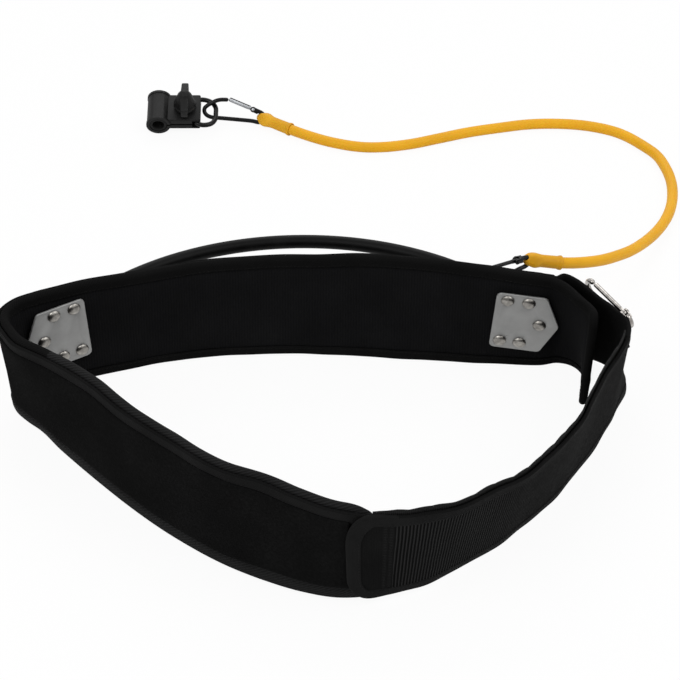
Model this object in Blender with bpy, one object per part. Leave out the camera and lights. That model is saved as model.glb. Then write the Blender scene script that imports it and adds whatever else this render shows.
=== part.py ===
import bpy
import bmesh
import math
import numpy as np
from mathutils import Matrix, Vector

MM = 0.001

# driving dimensions, millimetres
BELT_HEIGHT = 100.0
PAD_HALF = 3.5
PAD_EDGE_HALF = 2.0
TAPE_REACH = 10.0
CORNER_RADIUS = 12.0
STRAP_HALF = 1.2
STRAP_LOW = 3.0
STRAP_HIGH = 97.0
STRAP_OFFSET = 5.2
PANEL_THICKNESS = 1.2
CLOSURE_OFFSET = 12.1
CLOSURE_RAISE = 4.0
CLOSURE_CORNER = 24.0
LAYER_GAP = 0.5
SHARED_LOW = 10.8
SHARED_HIGH = 89.2

PLATE_STRAIGHT = 40.0
PLATE_TIP = 12.5
PLATE_HEIGHT = 59.0
PLATE_THICKNESS = 2.0
PLATE_CORNER = 4.0
RIVET_HOLE = 2.6
RIVET_SHANK = 2.2
RIVET_HEAD = 5.3
RIVET_DOME = 2.6
RIVET_SPOTS = [(9.2, 22.5), (26.0, 22.5), (37.0, 0.0), (7.8, -21.5), (23.6, -21.5)]
FLANGE_THICKNESS = 3.0

RAIL_CENTRE = (-29.4, -147.6)
RAIL_RADIUS = 216.6
RAIL_HEIGHT = 50.0
RAIL_WIRE = 5.6
RAIL_START = 38.0
RAIL_END = 142.0
SOCKET_ANGLE = 5.6
SOCKET_RADIUS = 9.0

TUBE_RADIUS = 4.7
CUFF_RADIUS = 5.8
CUFF_SOCKET = 5.0
CUFF_SOCKET_DEPTH = 5.0
CUFF_GAP = 0.3

HOOK_WIRE = 2.0
SIDE_WIRE = 2.2
SIDE_SCALE = 0.79

CLAMP_CENTRE = (-164.0, 330.8, 15.3)
CLAMP_TILT = 17.0
CLAMP_LENGTH = 33.0
CLAMP_RADIUS = 10.9
CLAMP_BORE = 8.0
CLAMP_REACH = 38.2
CLAMP_HALF = 6.0
CLAMP_SLOT = 0.8
LINER_OUTER = 7.7
LINER_INNER = 5.3
KNOB_AT = 24.0
RING_WIRE = 2.2
RING_PIVOT = 33.0
RING_BAR = 51.6
RING_HALF = 15.0

# bottom centre x, y, lift of the lower edge, and how far the top stands over in x and y
PAD_ROUTE = [
    (190, -95, 0, 4, -12), (192, -81, 0, 2, -15), (195, -66, 0, -5, -20), (197, -54, 0, -12, -23),
    (194, -43, 0, -14, -24), (186, -34, 0, -12, -24), (174, -30, 0, -8, -22), (161, -33, 0, -4, -17),
    (148, -33, 0, -2, -15), (135, -32, 0, -1, -13), (121, -31, 0, -1, -10), (106, -30, 0, 0, -8),
    (76, -27, 0, 0, -4), (45, -24, 0, 0, -2), (15, -21, 0, 0, -2), (-16, -19, 0, 0, -6),
    (-47, -18, 0, 1, -7), (-77, -19, 0, 1, -9), (-107, -22, 0, 1, -10), (-136, -28, 0, 2, -12),
    (-170, -39, 0, 0, -12), (-198, -49, 0, -2, -11), (-215, -57, 0, -3, -11), (-232, -65, 0, -3, -11),
    (-245, -73, 0, -4, -12), (-251, -83, 0, -5, -13), (-248, -95, 0, -8, -13), (-239, -107, 0, -12, -12),
    (-227, -119, 0, -17, -11),
    (-211, -142, 0, -10, -7), (-194, -164, 0, -5, -4), (-176, -186, 0, -3, -2), (-157, -208, 0, -4, -3),
    (-118, -248, 0, -3, -3), (-75, -282, 0, -4, -5), (-51, -296, 0, -2, -3), (-26, -307, 0, -3, -8),
    (0, -313, 0, -3, -15), (20, -311.0, 0, -0.6, -21.1),
]
FREE_ROUTE = [
    (60, -308, 3, 6, -29), (79, -294, 2, 9, -31), (98, -277, 1, 10, -32), (116, -259, 0, 11, -35),
    (132, -240, 0, 11, -37), (148, -221, 0, 12, -34), (163, -201, 0, 12, -29), (176, -180, 0, 10, -24),
    (189, -158, 0, 8, -18), (200, -135, 0, 10, -14), (209, -115, 0, 10, -13), (215, -98, 0, 6, -14),
    (220, -87, 0, -2, -15), (225, -76, 0, -13, -16), (227, -64, 0, -21, -17), (224, -50, 0, -25, -20),
    (216, -39, 0, -24, -20), (204, -30, 0, -20, -19), (190, -25, 0, -15, -18),
]
TUBE_ROUTE = [
    (-44.3, 315.0, 6.0), (-30, 306.7, 5.2), (-4, 294, 4.8), (23, 287, 4.8), (35, 287, 4.8), (62, 292, 4.8),
    (89, 302, 4.8), (115, 312, 4.8), (144, 320, 4.8), (171, 326, 4.8), (198, 327, 4.8), (225, 323, 4.8),
    (250, 312, 4.8), (272, 289, 4.8), (282, 274, 4.8), (288, 254, 4.8), (291, 232, 4.8), (290, 207, 4.8),
    (285, 181.3, 6.0), (277, 158.2, 8.3),
    (266.5, 135.9, 11.8), (254.8, 115.2, 16.5), (242.8, 96.5, 22), (229.8, 80.1, 28), (216.4, 64.8, 34.5),
    (203, 53, 40.5), (189.8, 43.7, 46), (179.8, 38.1, 50),
]

# outline of the small hook's wire, from the gate hinge round the narrow end and the wide end to the nose
HOOK_OUTLINE = [
    (37.0, 5.6), (39.5, 5.6), (42.6, 4.6), (44.8, 2.6), (45.5, 0.0), (44.3, -2.6), (41.5, -3.9), (36.0, -3.9),
    (24.0, -4.9), (12.0, -6.1), (3.0, -7.0), (-2.5, -7.4), (-6.6, -6.3), (-9.2, -3.6), (-9.4, -0.6),
    (-7.3, 2.4), (-4.0, 5.2), (-0.6, 7.9), (3.0, 9.5), (7.0, 10.4), (10.5, 10.9),
]
HOOK_HINGE = (34.0, 6.4)
HOOK_NOSE = (12.6, 10.9)
SIDE_OUTLINE = [
    (61.5, 7.6), (64.2, 6.4), (66.2, 3.2), (66.4, -1.0), (64.8, -4.6), (61.0, -6.8), (48.0, -8.4),
    (30.0, -10.2), (14.0, -11.9), (4.0, -12.8), (-2.5, -11.8), (-7.0, -8.2), (-8.8, -3.0), (-7.6, 3.0),
    (-3.6, 8.6), (2.0, 12.6), (7.0, 14.0),
]
SIDE_HINGE = (58.5, 8.4)
SIDE_NOSE = (9.8, 13.9)

# the assembly is shifted so that the origin lies under the middle of the belt and rail
SHIFT = (17.651, 135.387, 0.0)

for item in list(bpy.data.objects):
    bpy.data.objects.remove(item, do_unlink=True)

assembly = bpy.data.objects.new("assembly", None)
bpy.context.scene.collection.objects.link(assembly)
assembly.location = (SHIFT[0] * MM, SHIFT[1] * MM, SHIFT[2] * MM)


def makeMaterial(name, colour, metallic, roughness):
    material = bpy.data.materials.new(name)
    material.use_nodes = True
    shader = material.node_tree.nodes["Principled BSDF"]
    shader.inputs["Base Color"].default_value = (*colour, 1.0)
    shader.inputs["Metallic"].default_value = metallic
    shader.inputs["Roughness"].default_value = roughness
    return material


MATERIALS = {
    "belt_fabric": makeMaterial("belt_fabric", (0.012, 0.012, 0.013), 0.0, 0.9),
    "strap_webbing": makeMaterial("strap_webbing", (0.03, 0.03, 0.032), 0.0, 0.85),
    "loop_pile": makeMaterial("loop_pile", (0.01, 0.01, 0.011), 0.0, 0.95),
    "hook_tape": makeMaterial("hook_tape", (0.018, 0.018, 0.02), 0.0, 0.7),
    "edge_tape": makeMaterial("edge_tape", (0.02, 0.02, 0.022), 0.0, 0.8),
    "plate_metal": makeMaterial("plate_metal", (0.3, 0.3, 0.31), 0.9, 0.38),
    "rivet_metal": makeMaterial("rivet_metal", (0.5, 0.5, 0.5), 1.0, 0.25),
    "bracket_plastic": makeMaterial("bracket_plastic", (0.015, 0.015, 0.016), 0.0, 0.5),
    "rail_coat": makeMaterial("rail_coat", (0.02, 0.02, 0.022), 0.2, 0.35),
    "tube_rubber": makeMaterial("tube_rubber", (0.75, 0.38, 0.02), 0.0, 0.45),
    "cuff_rubber": makeMaterial("cuff_rubber", (0.7, 0.36, 0.03), 0.0, 0.55),
    "hook_coat": makeMaterial("hook_coat", (0.012, 0.012, 0.013), 0.3, 0.35),
    "gate_metal": makeMaterial("gate_metal", (0.6, 0.6, 0.6), 1.0, 0.35),
    "side_metal": makeMaterial("side_metal", (0.7, 0.7, 0.7), 1.0, 0.15),
    "clamp_plastic": makeMaterial("clamp_plastic", (0.03, 0.03, 0.032), 0.0, 0.5),
    "liner_rubber": makeMaterial("liner_rubber", (0.015, 0.015, 0.015), 0.0, 0.8),
    "screw_metal": makeMaterial("screw_metal", (0.45, 0.45, 0.46), 1.0, 0.3),
}


def linkObject(name, data, slot, smooth):
    # add an object under the assembly with its material
    item = bpy.data.objects.new(name, data)
    bpy.context.scene.collection.objects.link(item)
    item.parent = assembly
    data.materials.append(MATERIALS[slot])
    if smooth:
        for polygon in data.polygons:
            polygon.use_smooth = True
    return item


def meshFrom(name, points, faces, slot, smooth=True):
    # object from points in millimetres, with its faces turned outward
    data = bpy.data.meshes.new(name)
    data.from_pydata([tuple(v) for v in np.asarray(points, float) * MM], [], faces)
    work = bmesh.new()
    work.from_mesh(data)
    bmesh.ops.recalc_face_normals(work, faces=work.faces)
    work.to_mesh(data)
    work.free()
    return linkObject(name, data, slot, smooth)


def gridFaces(rows, columns, closedRows=False):
    # quads round a tube of rows by columns, with flat ends unless the rows close up
    faces = []
    last = rows if closedRows else rows - 1
    for i in range(last):
        for j in range(columns):
            a = i * columns + j
            b = i * columns + (j + 1) % columns
            c = ((i + 1) % rows) * columns + (j + 1) % columns
            d = ((i + 1) % rows) * columns + j
            faces.append((a, b, c, d))
    if not closedRows:
        faces.append(tuple(range(columns)))
        faces.append(tuple((rows - 1) * columns + j for j in reversed(range(columns))))
    return faces


def layerFaces(rows, heights):
    # triangles round a strip; every face is split from its lower corner to the next row's upper corner
    faces = []
    columns = len(heights)
    for i in range(rows - 1):
        for j in range(columns):
            k = (j + 1) % columns
            a, b, c, d = i * columns + j, i * columns + k, (i + 1) * columns + k, (i + 1) * columns + j
            if heights[j] <= heights[k]:
                faces += [(a, b, c), (a, c, d)]
            else:
                faces += [(a, b, d), (b, c, d)]
    faces.append(tuple(range(columns)))
    faces.append(tuple((rows - 1) * columns + j for j in reversed(range(columns))))
    return faces


def cutWith(item, cutter, operation="DIFFERENCE"):
    # boolean on an object with a hidden helper solid
    cutter.hide_render = True
    cutter.display_type = "WIRE"
    change = item.modifiers.new("cut_" + cutter.name, "BOOLEAN")
    change.operation = operation
    change.solver = "EXACT"
    change.object = cutter


def helperMesh(name, work):
    # hidden helper from a bmesh in metres
    data = bpy.data.meshes.new(name)
    bmesh.ops.recalc_face_normals(work, faces=work.faces)
    work.to_mesh(data)
    work.free()
    item = bpy.data.objects.new(name, data)
    bpy.context.scene.collection.objects.link(item)
    item.parent = assembly
    item.hide_render = True
    item.display_type = "WIRE"
    return item


def boxWork(low, high):
    # bmesh box between two corners in millimetres
    work = bmesh.new()
    bmesh.ops.create_cube(work, size=1.0)
    low = np.array(low, float)
    high = np.array(high, float)
    for vert in work.verts:
        t = np.array(vert.co) + 0.5
        vert.co = Vector((low + (high - low) * t) * MM)
    return work


def rodWork(radius, start, end, segments=24, radiusEnd=None):
    # bmesh cylinder or cone between two points in millimetres
    work = bmesh.new()
    start = Vector(start) * MM
    end = Vector(end) * MM
    axis = end - start
    turn = Vector((0, 0, 1)).rotation_difference(axis.normalized()).to_matrix().to_4x4()
    move = Matrix.Translation((start + end) / 2)
    other = radius if radiusEnd is None else radiusEnd
    bmesh.ops.create_cone(work, cap_ends=True, segments=segments, radius1=radius * MM, radius2=other * MM,
                          depth=axis.length, matrix=move @ turn)
    return work


def workObject(name, work, slot, smooth=False):
    data = bpy.data.meshes.new(name)
    bmesh.ops.recalc_face_normals(work, faces=work.faces)
    work.to_mesh(data)
    work.free()
    return linkObject(name, data, slot, smooth)


def frameMatrix(origin, xAxis, yAxis):
    # placement in millimetres from an origin and two axes, the second made square to the first
    x = Vector(xAxis).normalized()
    y = Vector(yAxis)
    y = (y - x * x.dot(y)).normalized()
    z = x.cross(y)
    matrix = Matrix((x, y, z)).transposed().to_4x4()
    matrix.translation = Vector(origin) * MM
    return matrix


def placeAt(item, matrix):
    item.location = matrix.to_translation()
    item.rotation_euler = matrix.to_euler()


def lathe(name, profile, slot, segments=28):
    # solid of revolution about local Z from (radius, height) pairs in millimetres, axis to axis
    points = []
    faces = []
    rings = []
    for radius, height in profile:
        if radius == 0:
            rings.append([len(points)])
            points.append((0.0, 0.0, height))
            continue
        rings.append(list(range(len(points), len(points) + segments)))
        for k in range(segments):
            angle = 2 * math.pi * k / segments
            points.append((radius * math.cos(angle), radius * math.sin(angle), height))
    for a, b in zip(rings[:-1], rings[1:]):
        for k in range(segments):
            m = (k + 1) % segments
            if len(a) == 1:
                faces.append((a[0], b[k], b[m]))
            elif len(b) == 1:
                faces.append((a[k], a[m], b[0]))
            else:
                faces.append((a[k], a[m], b[m], b[k]))
    if len(rings[0]) > 1 and len(rings[-1]) > 1:
        for k in range(segments):
            m = (k + 1) % segments
            faces.append((rings[-1][k], rings[-1][m], rings[0][m], rings[0][k]))
    return meshFrom(name, points, faces, slot)


def hermite(points, count):
    # smooth curve through the points, its rows spread evenly in the parameter
    p = np.array(points, float)
    knots = np.concatenate([[0.0], np.cumsum(np.linalg.norm(np.diff(p[:, :2], axis=0), axis=1))])
    slopes = np.gradient(p, knots, axis=0, edge_order=2)
    u = np.linspace(0.0, knots[-1], count)
    i = np.clip(np.searchsorted(knots, u, side="right") - 1, 0, len(knots) - 2)
    span = knots[i + 1] - knots[i]
    t = ((u - knots[i]) / span)[:, None]
    a = p[i]
    b = p[i + 1]
    ma = slopes[i] * span[:, None]
    mb = slopes[i + 1] * span[:, None]
    start = (2 * t**3 - 3 * t**2 + 1) * a + (t**3 - 2 * t**2 + t) * ma
    return start + (3 * t**2 - 2 * t**3) * b + (t**3 - t**2) * mb


def spreadRows(fine, coarse, bend):
    # indices of rows spaced wide on the straights and close in the bends
    middle = fine[:, :2] + fine[:, 3:5] / 2
    step = np.gradient(middle, axis=0)
    length = np.linalg.norm(step, axis=1)
    heading = np.unwrap(np.arctan2(step[:, 1], step[:, 0]))
    need = np.cumsum(length / coarse + bend * np.abs(np.gradient(heading)))
    count = int(round(need[-1] - need[0])) + 1
    wanted = np.linspace(need[0], need[-1], count)
    return np.unique(np.searchsorted(need, wanted).clip(0, len(fine) - 1))


def stripFrom(rows, shift):
    # belt surface: base line, rising direction and outward direction at each row
    base = rows[:, :3].copy()
    over = rows[:, 3:5]
    up = np.sqrt(BELT_HEIGHT**2 - (over**2).sum(1))
    rise = np.column_stack([over, up]) / BELT_HEIGHT
    along = np.gradient(base + rise * BELT_HEIGHT / 2, axis=0)
    out = np.cross(along, rise)
    out /= np.linalg.norm(out, axis=1)[:, None]
    length = np.concatenate([[0.0], np.cumsum(np.linalg.norm(np.diff(base[:, :2], axis=0), axis=1))])
    away = np.full(len(base), float(shift))
    return {"base": base, "rise": rise, "out": out, "length": length, "shift": away}


def onStrip(strip, s, h, o):
    # point at length s along the belt, height h up it and distance o outward
    s, h, o = np.broadcast_arrays(np.asarray(s, float), np.asarray(h, float), np.asarray(o, float))
    known = strip["length"]
    pick = lambda name: np.stack([np.interp(s, known, strip[name][:, k]) for k in range(3)], -1)
    out = pick("out")
    out[..., 2] = out[..., 2] * np.clip(h / 10.0, 0.0, 1.0)
    away = o + np.interp(s, known, strip["shift"])
    return pick("base") + pick("rise") * h[..., None] + out * away[..., None]


def layer(name, strip, start, end, section, slot, corner=0.0, low=0.0, high=BELT_HEIGHT, thin=None,
          farCorner=True):
    # solid strip between two lengths; section is (height, outward) pairs; corners of the ends are rounded
    known = strip["length"]
    reach = max(corner, 0.5)
    if corner == 0:
        start = float(known[np.argmin(np.abs(known - start))])
        end = float(known[np.argmin(np.abs(known - end))])
    inner = known[(known > start + reach + 1.0) & (known < end - (reach + 1.0 if farCorner else 0.0))]
    ease = corner * (1 - np.cos(np.radians([0, 25, 45, 65, 90]))) if corner > 0 else np.array([0.0])
    extra = np.array([thin - 0.3, thin + 0.4]) if thin else np.array([])
    near = np.unique(np.concatenate([ease, extra]))
    near = near[near <= reach + 0.9]
    lengths = np.concatenate([start + near, inner, (end - near)[::-1] if farCorner else np.array([end])])
    fromEnd = np.minimum(lengths - start, end - lengths) if farCorner else lengths - start
    cut = np.where(fromEnd < corner, corner - np.sqrt(np.maximum(corner**2 - (corner - fromEnd)**2, 0.0)), 0.0)
    section = np.array(section, float)
    middle = (low + high) / 2
    half = (high - low) / 2
    heights = middle + (section[None, :, 0] - middle) * ((half - cut) / half)[:, None]
    outward = np.repeat(section[None, :, 1], len(lengths), 0)
    if thin:
        centre = (section[:, 1].max() + section[:, 1].min()) / 2
        slim = fromEnd < thin
        outward[slim] = centre + np.clip(outward[slim] - centre, -PAD_EDGE_HALF, PAD_EDGE_HALF)
    points = onStrip(strip, lengths[:, None], heights, outward)
    return meshFrom(name, points.reshape(-1, 3), layerFaces(len(lengths), section[:, 0]), slot)


def tapeAround(name, strip, path, inward, section, slot, closed):
    # folded tape swept along a path of (length, height) on the belt; section is (inward, outward) pairs
    path = np.array(path, float)
    inward = np.array(inward, float)
    section = np.array(section, float)
    s = path[:, 0, None] + inward[:, 0, None] * section[None, :, 0]
    h = path[:, 1, None] + inward[:, 1, None] * section[None, :, 0]
    o = np.repeat(section[None, :, 1], len(path), 0)
    points = onStrip(strip, s, h, o)
    return meshFrom(name, points.reshape(-1, 3), gridFaces(len(path), len(section), closed), slot)


def cornerPath(centre, radius, fromAngle, toAngle, steps):
    angles = np.radians(np.linspace(fromAngle, toAngle, steps))
    away = np.stack([np.cos(angles), np.sin(angles)], 1)
    return np.array(centre) + radius * away, -away


# padded belt and its folded edge tape
padFine = hermite(PAD_ROUTE, 2400)
pad = stripFrom(padFine[spreadRows(padFine, 24.0, 2.7)], 0.0)
padLength = pad["length"][-1]
edge = 1.5
padSection = [
    (edge, -PAD_EDGE_HALF), (TAPE_REACH, -PAD_EDGE_HALF), (TAPE_REACH + 0.8, -PAD_HALF),
    (BELT_HEIGHT / 2, -PAD_HALF),
    (BELT_HEIGHT - TAPE_REACH - 0.8, -PAD_HALF), (BELT_HEIGHT - TAPE_REACH, -PAD_EDGE_HALF),
    (BELT_HEIGHT - edge, -PAD_EDGE_HALF), (BELT_HEIGHT - edge, PAD_EDGE_HALF),
    (BELT_HEIGHT - TAPE_REACH, PAD_EDGE_HALF), (BELT_HEIGHT - TAPE_REACH - 0.8, PAD_HALF),
    (BELT_HEIGHT / 2, PAD_HALF),
    (TAPE_REACH + 0.8, PAD_HALF), (TAPE_REACH, PAD_EDGE_HALF), (edge, PAD_EDGE_HALF),
]
paddedBelt = layer("padded_belt", pad, edge, padLength - edge, padSection, "belt_fabric",
                   corner=CORNER_RADIUS - edge, low=edge, high=BELT_HEIGHT - edge, thin=TAPE_REACH - edge + 0.3)

tapeSection = [
    (0.0, -PAD_HALF), (TAPE_REACH - 0.4, -PAD_HALF), (TAPE_REACH - 0.4, -2.5), (1.0, -2.5),
    (1.0, 2.5), (TAPE_REACH - 0.4, 2.5), (TAPE_REACH - 0.4, PAD_HALF), (0.0, PAD_HALF),
]
inner = pad["length"][(pad["length"] > CORNER_RADIUS + 2) & (pad["length"] < padLength - CORNER_RADIUS - 2)]
far = padLength - CORNER_RADIUS
top = BELT_HEIGHT - CORNER_RADIUS
middles = np.array([68.0, 50.0, 32.0])
runs = [cornerPath((CORNER_RADIUS, top), CORNER_RADIUS, 90.0, 180.0, 5),
        (np.column_stack([np.zeros(3), middles]), np.tile([1.0, 0.0], (3, 1))),
        cornerPath((CORNER_RADIUS, CORNER_RADIUS), CORNER_RADIUS, 180.0, 270.0, 5),
        (np.column_stack([inner, np.zeros(len(inner))]), np.tile([0.0, 1.0], (len(inner), 1))),
        cornerPath((far, CORNER_RADIUS), CORNER_RADIUS, 270.0, 360.0, 5),
        (np.column_stack([np.full(3, padLength), middles[::-1]]), np.tile([-1.0, 0.0], (3, 1))),
        cornerPath((far, top), CORNER_RADIUS, 0.0, 90.0, 5),
        (np.column_stack([inner[::-1], np.full(len(inner), BELT_HEIGHT)]), np.tile([0.0, -1.0], (len(inner), 1)))]
tapeAround("belt_edge_tape", pad, np.concatenate([run[0] for run in runs]),
           np.concatenate([run[1] for run in runs]), tapeSection, "edge_tape", True)

# outer strap: laid on the padded belt from the left arm round the back, then free to the closure
flatOut = pad["out"] * np.array([1.0, 1.0, 0.0])
huggingRows = np.column_stack([pad["base"], pad["rise"][:, :2] * BELT_HEIGHT])
leave = int(np.searchsorted(pad["length"], 76.0))
last = int(np.searchsorted(pad["length"], padLength - 12.0))
over = int(np.searchsorted(pad["length"], padLength - 26.0))
overlap = huggingRows[over::2].copy()
overlap[:, :3] += flatOut[over::2] * CLOSURE_OFFSET
overlap[:, 2] += CLOSURE_RAISE
joining = huggingRows[leave:leave + 3].copy()
joining[:, :3] += flatOut[leave:leave + 3] * STRAP_OFFSET
freeRoute = np.concatenate([overlap, FREE_ROUTE, joining])
freeFine = hermite(freeRoute, 2400)
meet = int(np.argmin(np.linalg.norm(freeFine[:, :2] - joining[0, :2], axis=1)))
freeFine = freeFine[:meet - 14]
free = stripFrom(freeFine[spreadRows(freeFine, 20.0, 2.7)], 0.0)
hug = {key: value[leave:last + 1] for key, value in pad.items()}
strap = {key: np.concatenate([free[key], hug[key]]) for key in ("base", "rise", "out")}
strap["shift"] = np.concatenate([free["shift"], np.full(len(hug["base"]), STRAP_OFFSET)])
seat = strap["base"] + strap["out"] * strap["shift"][:, None]
strap["length"] = np.concatenate([[0.0], np.cumsum(np.linalg.norm(np.diff(seat[:, :2], axis=0), axis=1))])
strapLength = strap["length"][-1]

levels = [STRAP_LOW, SHARED_LOW, BELT_HEIGHT / 2, SHARED_HIGH, STRAP_HIGH]
strapSection = [(h, -STRAP_HALF) for h in levels] + [(h, STRAP_HALF) for h in reversed(levels)]
outerStrap = layer("outer_strap", strap, 1.2, strapLength, strapSection, "strap_webbing",
                   corner=CLOSURE_CORNER - 1.0, low=STRAP_LOW, high=STRAP_HIGH, farCorner=False)

endSection = [(0.0, -1.6), (0.5, -2.2), (8.0, -2.2), (8.0, -1.5), (0.9, -1.5), (0.9, 1.5), (8.0, 1.5),
              (8.0, 2.2), (0.5, 2.2), (0.0, 1.6)]
low = STRAP_LOW - 1.2
high = STRAP_HIGH + 1.2
runs = [(np.array([[CLOSURE_CORNER + 4.0, high]]), np.array([[0.0, -1.0]])),
        cornerPath((CLOSURE_CORNER, high - CLOSURE_CORNER), CLOSURE_CORNER, 90.0, 180.0, 9),
        (np.column_stack([np.zeros(3), [62.0, 50.0, 38.0]]), np.tile([1.0, 0.0], (3, 1))),
        cornerPath((CLOSURE_CORNER, low + CLOSURE_CORNER), CLOSURE_CORNER, 180.0, 270.0, 9),
        (np.array([[CLOSURE_CORNER + 4.0, low]]), np.array([[0.0, 1.0]]))]
tapeAround("closure_end_tape", strap, np.concatenate([run[0] for run in runs]),
           np.concatenate([run[1] for run in runs]), endSection, "edge_tape", False)

hookBack = -STRAP_HALF - LAYER_GAP
levels = [3.6, SHARED_LOW, BELT_HEIGHT / 2, SHARED_HIGH, 98.4]
hookSection = [(h, hookBack - PANEL_THICKNESS) for h in levels] + [(h, hookBack) for h in reversed(levels)]
layer("hook_panel", strap, CLOSURE_CORNER + 12.0, 322.0, hookSection, "hook_tape")

loopFace = STRAP_OFFSET + STRAP_HALF + LAYER_GAP
levels = [SHARED_LOW, BELT_HEIGHT / 2, SHARED_HIGH]
loopSection = [(h, loopFace) for h in levels] + [(h, loopFace + PANEL_THICKNESS) for h in reversed(levels)]
layer("loop_panel", pad, padLength - 352.0, padLength - 17.0, loopSection, "loop_pile")


def lengthNear(strip, x, y, h):
    # length along the belt where its middle passes nearest to a point in plan
    s = np.linspace(0.0, strip["length"][-1], 3000)
    points = onStrip(strip, s, h, 0.0)
    return float(s[np.argmin((points[:, 0] - x)**2 + (points[:, 1] - y)**2)])


def pentagon():
    # plate outline with rounded corners: straight edge at -26, tip at +26
    half = PLATE_HEIGHT / 2
    start = -(PLATE_STRAIGHT + PLATE_TIP) / 2
    shoulder = start + PLATE_STRAIGHT
    corners = [(start, -half), (shoulder, -half), (shoulder + PLATE_TIP, 0.0), (shoulder, half),
               (start, half)]
    outline = []
    for k, corner in enumerate(corners):
        corner = np.array(corner)
        toPrevious = np.array(corners[k - 1]) - corner
        toNext = np.array(corners[(k + 1) % 5]) - corner
        toPrevious = toPrevious / np.linalg.norm(toPrevious)
        toNext = toNext / np.linalg.norm(toNext)
        halfAngle = math.acos(float(toPrevious @ toNext)) / 2
        reach = PLATE_CORNER / math.tan(halfAngle)
        inward = (toPrevious + toNext) / np.linalg.norm(toPrevious + toNext)
        middle = corner + inward * PLATE_CORNER / math.sin(halfAngle)
        first = corner + toPrevious * reach - middle
        last = corner + toNext * reach - middle
        turn = math.atan2(first[0] * last[1] - first[1] * last[0], float(first @ last))
        for step in np.linspace(0.0, turn, 4):
            c, s = math.cos(step), math.sin(step)
            outline.append((middle[0] + c * first[0] - s * first[1],
                            middle[1] + s * first[0] + c * first[1]))
    return outline


def extruded(name, outline, low, high, slot, ease):
    # flat plate from an outline in local XY between two heights, its edges eased
    count = len(outline)
    centre = np.array([0.0, 0.0])
    shape = np.array(outline, float)
    small = centre + (shape - centre) * (1 - ease / 26.0)
    rings = [(small, low), (shape, low + ease), (shape, high - ease), (small, high)]
    points = np.concatenate([np.column_stack([ring, np.full(count, z)]) for ring, z in rings])
    faces = gridFaces(4, count)
    return meshFrom(name, points, faces, slot, smooth=False)


def plateSeat(x, y, h, toward, roll):
    # axes of a plate lying along the belt: x toward the tip, y up, z outward; and the room it needs
    s = lengthNear(pad, x, y, h)
    origin = onStrip(pad, s, h, 0.0)
    along = onStrip(pad, s + toward * 24.0, h, 0.0) - onStrip(pad, s - toward * 24.0, h, 0.0)
    up = onStrip(pad, s, h + 26.0, 0.0) - onStrip(pad, s, h - 26.0, 0.0)
    along = along / np.linalg.norm(along)
    up = up - along * (up @ along)
    up = up / np.linalg.norm(up)
    c, k = math.cos(math.radians(roll)), math.sin(math.radians(roll))
    along, up = c * along + k * up, c * up - k * along
    out = np.cross(along, up)
    reach = np.linspace(-27.0, 27.0, 13)
    spread = np.linspace(-30.0, 30.0, 13)
    sideways = 1.0 if out @ onStrip(pad, s, h, 1.0) - out @ origin > 0 else -1.0
    inside = onStrip(pad, s + reach[:, None], h + spread[None, :], -PAD_HALF)
    outside = onStrip(pad, s + reach[:, None], h + spread[None, :], STRAP_OFFSET + STRAP_HALF)
    return {"origin": origin, "along": along, "up": up, "out": out * sideways,
            "inner": float(((inside - origin) @ (out * sideways)).min()),
            "outer": float(((outside - origin) @ (out * sideways)).max())}


def socketEnd(angle, way):
    # rail end frame: point on the arc, direction along the rail into its span
    turn = math.radians(angle)
    point = np.array([RAIL_CENTRE[0] + RAIL_RADIUS * math.cos(turn),
                      RAIL_CENTRE[1] + RAIL_RADIUS * math.sin(turn), RAIL_HEIGHT])
    mid = math.radians(angle + way * SOCKET_ANGLE / 2)
    return point, np.array([-math.sin(mid), math.cos(mid), 0.0]) * way


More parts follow.
